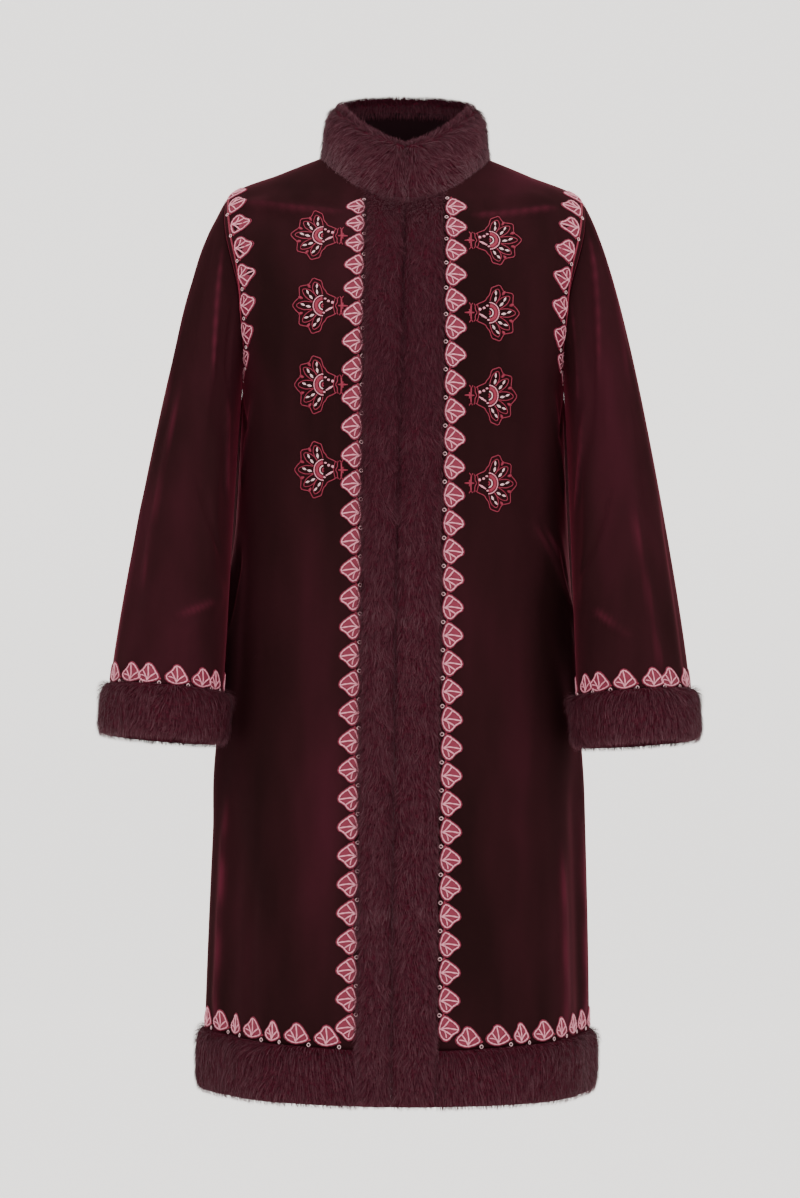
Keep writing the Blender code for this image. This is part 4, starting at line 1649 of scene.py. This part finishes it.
@dataclass(frozen=True)
class PalmetteChart:
    """A fan palmette of five petals on a half ring, with a bracket and a small cross at its stem.

    The first coordinate runs upwards along the front edge, the second away from it.
    """

    heart: float = 28.6
    valley: float = 28.4
    petals: Tuple[Tuple[float, float], ...] = (
        (-68.0, 34.0), (-37.0, 35.2), (0.0, 36.5), (37.0, 35.2), (68.0, 34.0)
    )

    def at(self, angle: float, radius: float) -> Tuple[float, float]:
        """Point at an angle and radius from the heart; 0 points away from the band."""
        turn = math.radians(angle)
        return radius * math.sin(turn), self.heart + radius * math.cos(turn)

    def lines(self) -> List[Line]:
        """All lines of the palmette."""
        outer = [(-8.6, 13.6), (-10.8, 17.2), (-13.6, 24.4), (-17.4, 26.4), (-20.4, 29.4)]
        outer += [self.at(-84.0, 29.0)]
        for angle, radius in self.petals:
            outer += [self.at(angle - 9.5, radius - 3.2), self.at(angle, radius + 0.8)]
            outer += [self.at(angle + 9.5, radius - 3.2)]
            if angle < self.petals[-1][0]:
                gap = 15.5 if abs(angle) > 60 or angle == 37.0 else 18.5
                outer += [self.at(angle + gap, self.valley + 1.2)]
        outer += [self.at(84.0, 29.0)]
        outer += [(20.4, 29.4), (17.4, 26.4), (13.6, 24.4), (10.8, 17.2), (8.6, 13.6)]
        made = [Line(outer, Colour.ROSE, 1.25)]
        for angle, radius in self.petals:
            tip = radius - 4.6
            made.append(
                Line(
                    (
                        self.at(angle - 17.0, 13.4), self.at(angle - 15.0, 18.0),
                        self.at(angle - 11.5, 24.0), self.at(angle - 4.0, tip - 1.2),
                        self.at(angle, tip), self.at(angle + 4.0, tip - 1.2),
                        self.at(angle + 11.5, 24.0), self.at(angle + 15.0, 18.0),
                        self.at(angle + 17.0, 13.4),
                    ),
                    Colour.ROSE,
                    1.15,
                )
            )
            for middle, tilt, long, wide in ((17.4, -3.5, 5.6, 3.0), (24.0, 2.5, 5.0, 2.6)):
                made.append(
                    Line(
                        (
                            self.at(angle + tilt - 2.5, middle - long / 2),
                            self.at(angle + tilt, middle),
                            self.at(angle + tilt + 2.0, middle + long / 2),
                        ),
                        Colour.WHITE,
                        wide,
                        ends=0.25,
                    )
                )
        for angle in (-52.5, -18.5, 18.5, 52.5):
            bud = (self.at(angle, 25.6), self.at(angle, 28.4), self.at(angle, 31.0))
            made.append(Line(bud, Colour.ROSE, 3.8, ends=0.4))
        ring = [self.at(a, 11.7) for a in range(-88, 89, 11)]
        made.append(Line(ring, Colour.PINK, 1.7, beads=0.4))
        made.append(Line([self.at(a, 8.4) for a in range(-84, 85, 14)], Colour.ROSE, 4.8))
        made.append(Line([self.at(a, 4.9) for a in range(-80, 81, 32)], Colour.WHITE, 1.5))
        made.append(Line([self.at(a, 2.0) for a in (-85, -30, 30, 85)], Colour.ROSE, 2.2))
        seeds = ((8.0, 26.6, 2.2), (5.3, 22.8, 3.0), (3.8, 18.1, 3.6), (-8.2, 28.0, 2.2))
        for x, y, size in seeds:
            made.append(Line(((x, y + 1.4), (x, y), (x, y - 1.4)), Colour.PINK, size, ends=0.6))
        made += [
            Line(((-6.4, 26.0), (-4.0, 22.0), (-1.6, 17.6)), Colour.PINK, 2.7, False, 0.2, 0.5),
            Line(
                ((10.2, 11.6), (7.6, 12.8), (3.6, 12.6), (0.0, 15.0), (-3.6, 12.6), (-7.6, 12.8),
                 (-10.2, 11.6)),
                Colour.ROSE, 1.25,
            ),
            Line(
                ((-9.4, 15.2), (-5.0, 16.4), (0.0, 17.4), (5.0, 16.4), (9.4, 15.2)),
                Colour.ROSE, 1.1,
            ),
            Line(((-8.0, 8.2), (-3.0, 7.9), (3.0, 7.9), (8.0, 8.2)), Colour.ROSE, 2.4),
            Line(((-11.4, 6.0), (-8.0, 8.2), (-11.0, 10.0)), Colour.ROSE, 1.3),
            Line(((11.4, 6.0), (8.0, 8.2), (11.0, 10.0)), Colour.ROSE, 1.3),
            Line(((0.0, 12.0), (0.0, 8.6), (0.0, 5.0), (0.0, 0.6)), Colour.ROSE, 3.0, ends=0.35),
            Line(((-3.6, 6.2), (0.0, 6.8), (3.6, 6.2)), Colour.ROSE, 1.8),
        ]
        return made


def thread_object(
    name: str, radius_mm: float, roundness: int, materials: Sequence[bpy.types.Material]
) -> bpy.types.Object:
    """An object for raised thread, with no thread on it yet.

    Args:
        name: the piece's name.
        radius_mm: the thread's half thickness.
        roundness: how finely its section is divided.
        materials: its material slots.

    Returns:
        The object, with a round bevelled curve.
    """
    curve = bpy.data.curves.new(name, "CURVE")
    curve.dimensions = "3D"
    curve.bevel_depth = radius_mm * MM
    curve.bevel_resolution = roundness
    curve.use_fill_caps = True
    for material in materials:
        curve.materials.append(material)
    obj = bpy.data.objects.new(name, curve)
    bpy.context.scene.collection.objects.link(obj)
    return obj


def lay_thread(obj: bpy.types.Object, points: np.ndarray) -> bpy.types.Spline:
    """Adds one smooth line of thread.

    Args:
        obj: the thread's object.
        points: the line, in millimetres.

    Returns:
        The line.
    """
    spline = obj.data.splines.new("POLY")
    spline.points.add(len(points) - 1)
    flat = np.concatenate((points * MM, np.ones((len(points), 1))), axis=1)
    spline.points.foreach_set("co", flat.astype(np.float32).ravel())
    spline.use_smooth = True
    return spline


def cord(
    name: str, points: np.ndarray, thick_mm: float, material: bpy.types.Material
) -> bpy.types.Object:
    """One couched cord.

    Args:
        name: the piece's name.
        points: its route, in millimetres.
        thick_mm: its thickness.
        material: its thread.

    Returns:
        The object.
    """
    obj = thread_object(name, thick_mm / 2, 1, (material,))
    lay_thread(obj, points)
    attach(obj, "root")
    return obj


class Motif(NamedTuple):
    """One motif in place: where it starts, how it is turned, and what is stitched."""

    a: float
    b: float
    along: Tuple[float, float, float]
    away: Tuple[float, float, float]
    lines: Sequence[Line]
    patches: Sequence[Patch] = ()
    offset: float = 0.0
    size: Tuple[float, float] = (1.0, 1.0)


@dataclass
class Needlework:
    """Carries charted motifs onto a surface as raised thread.

    The surface takes two parameters; step_a and step_b are small steps of them, and sign
    turns the surface's own direction outwards.
    """

    surface: Surface
    step_a: float
    step_b: float
    sign: float
    finishes: Finishes
    steps: int = 5

    def slopes(self, a: np.ndarray, b: np.ndarray) -> Tuple[np.ndarray, np.ndarray, np.ndarray]:
        """How the surface runs at places.

        Args:
            a: the surface's first parameter.
            b: its second parameter.

        Returns:
            (run per unit of a, run per unit of b, outward direction).
        """
        by_a = self.surface(a + self.step_a, b) - self.surface(a - self.step_a, b)
        by_b = self.surface(a, b + self.step_b) - self.surface(a, b - self.step_b)
        out = unit(np.cross(by_b, by_a)) * self.sign
        return by_a / (2 * self.step_a), by_b / (2 * self.step_b), out

    def carry(self, motifs: Sequence[Motif], charts: Sequence[np.ndarray]) -> Pair:
        """Walks from each motif's start over the surface to each of its charted points.

        Args:
            motifs: the motifs.
            charts: each motif's charted points, in millimetres.

        Returns:
            (points on the surface, outward directions), in millimetres, motif after motif.
        """
        counts = [len(chart) for chart in charts]

        def each(name: str) -> np.ndarray:
            """One field of the motifs, repeated for each charted point."""
            values = [getattr(motif, name) for motif in motifs]
            return np.repeat(values, counts, axis=0).astype(float)

        a, b, outwards = each("a"), each("b"), each("away")
        heading = unit(each("along"))
        points = np.concatenate(charts) * each("size")
        reach = points[:, 1] + each("offset")
        for _ in range(self.steps):
            by_a, by_b, out = self.slopes(a, b)
            along = unit(heading - out * np.sum(out * heading, axis=-1, keepdims=True))
            away = np.cross(along, out)
            side = np.sum(away * outwards, axis=-1, keepdims=True)
            away = away * np.where(side < 0, -1.0, 1.0)
            move = (along * points[:, :1] + away * reach[:, None]) / self.steps
            aa = np.sum(by_a * by_a, axis=-1)
            bb = np.sum(by_b * by_b, axis=-1)
            ab = np.sum(by_a * by_b, axis=-1)
            ma, mb = np.sum(by_a * move, axis=-1), np.sum(by_b * move, axis=-1)
            scale = aa * bb - ab * ab
            a = a + (ma * bb - mb * ab) / scale
            b = b + (mb * aa - ma * ab) / scale
        return self.surface(a, b), self.slopes(a, b)[2]

    def sew(self, name: str, motifs: Sequence[Motif]) -> List[bpy.types.Object]:
        """Makes one raised thread object, and one filled ground object where there is a ground.

        Args:
            name: the stem of the two names.
            motifs: what to sew.

        Returns:
            The objects.
        """
        made = [self.threads(f"{name}_threads", motifs)]
        if any(motif.patches for motif in motifs):
            made.append(self.grounds(f"{name}_ground", motifs))
        for obj in made:
            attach(obj, "root")
        return made

    def threads(self, name: str, motifs: Sequence[Motif]) -> bpy.types.Object:
        """All charted lines as one bevelled curve.

        Args:
            name: the object's name.
            motifs: what to sew.

        Returns:
            The object.
        """
        f = self.finishes
        obj = thread_object(name, 0.5, 0, (f.pink, f.rose, f.deep, f.white))
        rounds = [
            [rounded_line(line.points, line.closed) for line in motif.lines] for motif in motifs
        ]
        places, outs = self.carry(motifs, [np.concatenate(charts) for charts in rounds])
        first = 0
        for motif, charts in zip(motifs, rounds):
            for line, chart in zip(motif.lines, charts):
                count = len(chart)
                part = slice(first, first + count)
                first += count
                spot = places[part] + outs[part] * (0.2 + line.colour.lift)
                spline = lay_thread(obj, spot)
                spline.use_cyclic_u = line.closed
                spline.material_index = line.colour.value
                share = np.linspace(-1.0, 1.0, count)
                taper = line.ends + (1 - line.ends) * (1 - share**2)
                radius = line.thick * (1.0 - line.beads * (np.arange(count) % 2)) * taper
                spline.points.foreach_set("radius", radius.astype(np.float32))
        return obj

    def grounds(self, name: str, motifs: Sequence[Motif]) -> bpy.types.Object:
        """All filled shapes as one mesh of fans.

        Args:
            name: the object's name.
            motifs: what to sew.

        Returns:
            The object.
        """
        work = bmesh.new()
        charts, lifts = [], []
        for motif in motifs:
            spots = []
            for patch in motif.patches:
                loop = rounded_line(patch.points, True)
                made = bmesh.ops.create_circle(
                    work, cap_ends=True, cap_tris=True, segments=len(loop), radius=1.0
                )["verts"]
                rim = sorted(
                    (i for i, vert in enumerate(made) if vert.co.length > 0.5),
                    key=lambda i: math.atan2(made[i].co.y, made[i].co.x) % (2 * math.pi),
                )
                chart = np.tile(loop.mean(axis=0), (len(made), 1))
                chart[rim] = loop
                spots.append(chart)
                lifts.append(np.full(len(made), patch.lift))
            charts.append(np.concatenate(spots) if spots else np.zeros((0, 2)))
        places, outs = self.carry(motifs, charts)
        places = (places + outs * np.concatenate(lifts)[:, None]) * MM
        for vert, place, out in zip(work.verts, places, outs):
            vert.co = place
        work.normal_update()
        turned = [f for f in work.faces if f.normal.dot(outs[f.verts[0].index]) < 0]
        bmesh.ops.reverse_faces(work, faces=turned)
        mesh = bpy.data.meshes.new(name)
        work.to_mesh(mesh)
        work.free()
        return new_object(name, mesh, (self.finishes.deep,))


class Spot(NamedTuple):
    """Where a palmette's stem starts on a front: millimetres from the centre, and level."""

    x: float
    level: float


PALMETTES = {
    Side.RIGHT: (Spot(63.6, 0.0762), Spot(62.4, 0.1541), Spot(61.4, 0.2703), Spot(60.5, 0.3759)),
    Side.LEFT: (Spot(67.4, 0.0806), Spot(67.8, 0.1634), Spot(68.6, 0.2862), Spot(69.6, 0.3906)),
}


class Shift(NamedTuple):
    """How far in front of the armhole's seam its edging runs, in millimetres, at one turn."""

    turn: float
    ahead: float


ARMHOLE_SHIFTS = (
    Shift(-180.0, 0.0), Shift(0.0, 0.0), Shift(12.0, 3.0), Shift(26.0, 10.0), Shift(48.0, 14.0),
    Shift(64.0, 12.0), Shift(78.0, 4.0), Shift(92.0, 0.0), Shift(180.0, 0.0),
)


@dataclass
class Embroidery:
    """Shell edging round every trimmed edge, armhole cords and four pairs of palmettes."""

    form: CoatForm
    finishes: Finishes
    shell: ShellChart = field(default_factory=ShellChart)
    palmette: PalmetteChart = field(default_factory=PalmetteChart)
    first_level: float = 0.036
    last_level: float = 0.976
    front_count: int = 31
    cuff_count: int = 14
    cuff_reach: float = 0.996
    hem_level: float = 0.997
    hem_start: float = 36.0
    sewn: Dict[str, List[bpy.types.Object]] = field(default_factory=lambda: defaultdict(list))

    def build(self) -> None:
        """Sews everything."""
        for side in Side:
            self.front(side)
            self.armhole(side)
            self.cuff(side)
        self.hem()

    def on_body(self) -> Needlework:
        """Needlework on the body's velvet."""
        return Needlework(self.form.velvet, 0.05, 0.0004, 1.0, self.finishes)

    @staticmethod
    def spaced(place: Callable[[np.ndarray], np.ndarray], widths: np.ndarray) -> np.ndarray:
        """Shares from 0 to 1 of motifs that stand side by side along a line.

        Args:
            place: points of the line for shares from 0 to 1.
            widths: each motif's relative width.

        Returns:
            The shares.
        """
        share = np.linspace(0.0, 1.0, 1500)
        steps = np.linalg.norm(np.diff(place(share), axis=0), axis=1)
        run = np.concatenate(([0.0], np.cumsum(steps)))
        at = np.concatenate(([0.0], np.cumsum((widths[1:] + widths[:-1]) / 2)))
        LOG.info("edging of %d shells, one each %.1f mm", len(widths), run[-1] / at[-1])
        return np.interp(at / at[-1] * run[-1], run, share)

    def front(self, side: Side) -> None:
        """Edging beside one front band, and its palmettes."""
        form = self.form
        gap = 1.6 if side is Side.RIGHT else 3.2
        # The shells are stitched a little smaller at the chest.
        first = 0.80 if side is Side.RIGHT else 0.97
        widths = first + (1 - first) * soft(np.arange(self.front_count) / 7.0)
        across = (float(side.value), 0.0, 0.0)
        up = (0.0, 0.0, 1.0)

        def edge(share: np.ndarray) -> Pair:
            """(turn, level) down the edging's line."""
            level = self.first_level + share * (self.last_level - self.first_level)
            return form.turn_at(side.value * (form.band_width + gap), level), level

        lines, patches = self.shell.lines(0.6), self.shell.patches()
        turns, levels = edge(self.spaced(lambda share: form.velvet(*edge(share)), widths))
        motifs = [
            Motif(a, b, up, across, lines, patches, size=(size, 0.4 + 0.6 * size))
            for a, b, size in zip(turns, levels, widths)
        ]
        for spot in PALMETTES[side]:
            turn = float(form.turn_at(np.array(side.value * spot.x), np.array(spot.level)))
            motifs.append(Motif(turn, spot.level, up, across, self.palmette.lines()))
        self.sewn[f"front_{side.word}"] += self.on_body().sew(f"edging_front_{side.word}", motifs)

    def armhole(self, side: Side) -> None:
        """Edging round one armhole on the body's side of the seam, with its two cords."""
        form = self.form

        def place(at: np.ndarray) -> Pair:
            """(turn, level) on the body at a turn round this armhole's edging."""
            turn, level = form.armhole(at)
            shift = column(ARMHOLE_SHIFTS, "ahead", at)
            return side.value * (turn - shift / ON_BODY.turn), level

        def half(sign: float) -> List[Motif]:
            """The shells down the front (1) or the back (-1) of the armhole, all upright."""
            order = np.arange(9)
            widths = 0.84 + 0.16 * soft(order / 4.0) - 0.4 * soft((order - 6.0) / 2.0)

            def line(share: np.ndarray) -> Pair:
                """(turn, level) down this half."""
                return place(sign * (8.0 + 150.0 * share))

            shares = self.spaced(lambda share: form.velvet(*line(share)), widths)
            turns, levels = line(shares)
            towards = (-float(side.value), 0.0, 0.0)
            down, tall = (0.0, -0.3 * sign, -1.0), 1.22 if sign > 0 else 0.95
            lines, patches = self.shell.lines(0.4), self.shell.patches()
            return [
                Motif(a, b, down, towards, lines, patches, 5.0, (0.94 * size, tall * size))
                for a, b, size in zip(turns, levels, widths)
            ]

        made = self.on_body().sew(f"edging_armhole_{side.word}", half(1.0) + half(-1.0))
        turns = np.linspace(-158.0, 158.0, 150)
        for index, offset in enumerate((1.3, 2.9)):
            a, b = place(turns)
            points = form.velvet(a, b)
            out = form.body_out(a, b)
            run = unit(np.gradient(points, axis=0))
            away = np.cross(run, out)
            towards = np.sum(away * np.array((-side.value, 0.0, 0.3)), axis=-1, keepdims=True)
            away = away * np.where(towards < 0, -1, 1)
            name = f"cord_armhole_{side.word}_{index + 1}"
            made.append(cord(name, points + away * offset + out * 0.3, 1.2, self.finishes.rose))
        self.sewn[f"front_{side.word}"] += made

    def cuff(self, side: Side) -> None:
        """Edging round one sleeve above its cuff."""
        surface = self.form.sleeve(side, True)
        sew = Needlework(surface, 0.3, 0.002, -float(side.value), self.finishes)
        lines, patches = self.shell.lines(1.0), self.shell.patches()
        motifs = []
        for index in range(self.cuff_count):
            place = index + 0.5 + 0.14 * math.sin(index * 2.3)
            turn = 90.0 + place * 360.0 / self.cuff_count
            a, b = np.array([turn]), np.array([self.cuff_reach])
            run = (surface(a + 1.0, b) - surface(a - 1.0, b))[0] * -side.value
            size = (0.92 + 0.10 * math.sin(index * 1.7), 0.88)
            up = (0.0, 0.0, 1.0)
            motifs.append(Motif(turn, self.cuff_reach, tuple(run), up, lines, patches, size=size))
        self.sewn[f"sleeve_{side.word}"] += sew.sew(f"edging_cuff_{side.word}", motifs)

    def hem(self) -> None:
        """Edging right round the hem, which crosses the side seams."""
        form, level = self.form, self.hem_level
        start = float(form.turn_at(np.array(form.band_width + self.hem_start), np.array(level)))
        end = 360.0 - start

        def place(share: np.ndarray) -> np.ndarray:
            """Point of the edging's line."""
            return form.velvet(start + (end - start) * share, np.full(share.shape, level))

        lines, patches = self.shell.lines(1.6), self.shell.patches()
        motifs = []
        # Wide and narrow shells take turns, as the skirt's flutes show them.
        ahead = (1.0, 1.0, 0.62, 1.0, 0.62, 0.9, 0.7, 0.75)
        behind = (0.95, 0.8, 1.0, 0.75, 1.0, 0.85, 1.0, 0.7, 0.95) * 2
        widths = np.array(ahead + behind + ahead[::-1])
        for share, size in zip(self.spaced(place, widths), widths):
            turn = start + (end - start) * share
            a, b = np.array([turn]), np.array([level])
            run = (form.velvet(a + 0.3, b) - form.velvet(a - 0.3, b))[0]
            size = (size, 0.96)
            motifs.append(Motif(turn, level, tuple(run), (0, 0, 1), lines, patches, size=size))
        self.sewn["back"] += self.on_body().sew("edging_hem", motifs)


class Lamp(NamedTuple):
    """One soft square light: its place and size in metres, and its power in watts."""

    name: str
    place: Tuple[float, float, float]
    size: float
    watts: float


@dataclass(frozen=True)
class Stage:
    """Pale seamless backdrop, soft lights and the camera; lengths in metres."""

    lamps: Tuple[Lamp, ...] = (
        Lamp("key", (-1.9, -2.6, 1.6), 2.2, 80.0),
        Lamp("fill", (2.3, -2.4, 0.9), 2.4, 62.0),
        Lamp("top", (0.0, -0.3, 2.6), 2.2, 45.0),
    )
    aim: Tuple[float, float, float] = (0.0, 0.0, -0.5)
    sky: str = "#f2f0ee"
    sky_strength: float = 1.4
    paper: str = "#f4f2f0"
    paper_glow: float = 0.7
    floor: float = -1.75
    half_floor: float = 30.0
    sweep_start: float = 6.4
    sweep: float = 1.6
    sweep_steps: int = 12
    wall_top: float = 12.0
    distance: float = 4.3
    eye_height: float = -0.5155
    roll: float = -0.56
    sensor_mm: float = 36.0
    picture_height: int = 1198
    mm_per_pixel: float = 1.16

    def build(self) -> None:
        """Makes the backdrop, the lights and the camera."""
        self.backdrop()
        for lamp in self.lamps:
            self.light(lamp)
        world = bpy.data.worlds.new("studio")
        world.use_nodes = True
        light = {"Color": linear(self.sky), "Strength": self.sky_strength}
        feed(world.node_tree, world.node_tree.nodes["Background"], light)
        bpy.context.scene.world = world
        self.camera()

    def backdrop(self) -> None:
        """A floor that sweeps up into a wall, both so far off that no view meets them."""
        profile = [(-self.half_floor, self.floor), (self.sweep_start, self.floor)]
        for step in range(1, self.sweep_steps + 1):
            angle = math.radians(90.0 * step / self.sweep_steps)
            y = self.sweep_start + self.sweep * math.sin(angle)
            profile.append((y, self.floor + self.sweep * (1 - math.cos(angle))))
        profile.append((self.sweep_start + self.sweep, self.wall_top))
        work = bmesh.new()
        verts = [work.verts.new((-self.half_floor, y, z)) for y, z in profile]
        edges = [work.edges.new(pair) for pair in zip(verts, verts[1:])]
        swept = bmesh.ops.extrude_edge_only(work, edges=edges)
        moved = [item for item in swept["geom"] if isinstance(item, bmesh.types.BMVert)]
        bmesh.ops.translate(work, verts=moved, vec=(2 * self.half_floor, 0.0, 0.0))
        for face in work.faces:
            face.smooth = True
        bmesh.ops.recalc_face_normals(work, faces=work.faces)
        mesh = bpy.data.meshes.new("backdrop")
        work.to_mesh(mesh)
        work.free()
        # The studio's background is lit on its own, paler than the light on the coat.
        colour = linear(self.paper)
        sockets = {
            "Base Color": colour,
            "Emission Color": colour,
            "Emission Strength": self.paper_glow,
        }
        material = Look("pale_matte_backdrop").finish(0.95, 0.5, sockets)
        new_object("backdrop", mesh, (material,))

    def light(self, lamp: Lamp) -> None:
        """Hangs one lamp, aimed at the middle of the coat.

        Args:
            lamp: the lamp.
        """
        data = bpy.data.lights.new(lamp.name, "AREA")
        data.shape = "SQUARE"
        data.size = lamp.size
        data.energy = lamp.watts
        obj = bpy.data.objects.new(lamp.name, data)
        bpy.context.scene.collection.objects.link(obj)
        aim = np.array(self.aim) - np.array(lamp.place)
        obj.location = lamp.place
        yaw = math.atan2(aim[0], -aim[1])
        pitch = math.atan2(-aim[2], math.hypot(aim[0], aim[1]))
        obj.rotation_euler = (math.radians(90.0) - pitch, 0.0, yaw + math.pi)
        obj.visible_camera = False

    def camera(self) -> None:
        """Level with the middle of the coat, straight in front."""
        data = bpy.data.cameras.new("camera")
        data.sensor_width = self.sensor_mm
        half = self.mm_per_pixel * MM * self.picture_height / 2
        data.lens = data.sensor_width / 2 * self.distance / half
        data.shift_x = -1.0 / self.picture_height
        obj = bpy.data.objects.new("camera", data)
        bpy.context.scene.collection.objects.link(obj)
        obj.location = (0.0, -self.distance, self.eye_height)
        obj.rotation_euler = (math.radians(90.0), math.radians(self.roll), 0.0)
        bpy.context.scene.camera = obj


def main() -> None:
    """Builds the coat's dress in order."""
    logging.basicConfig(level=logging.INFO, format="%(name)s %(message)s")
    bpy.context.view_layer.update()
    form = CoatForm()
    finishes = Finishes()
    shells, embroidery = VelvetShells(form, finishes), Embroidery(form, finishes)
    shells.build()
    FurTrim(form, finishes).build()
    embroidery.build()
    shells.declare(embroidery.sewn)
    Stage().build()


if __name__ == "__main__":
    main()
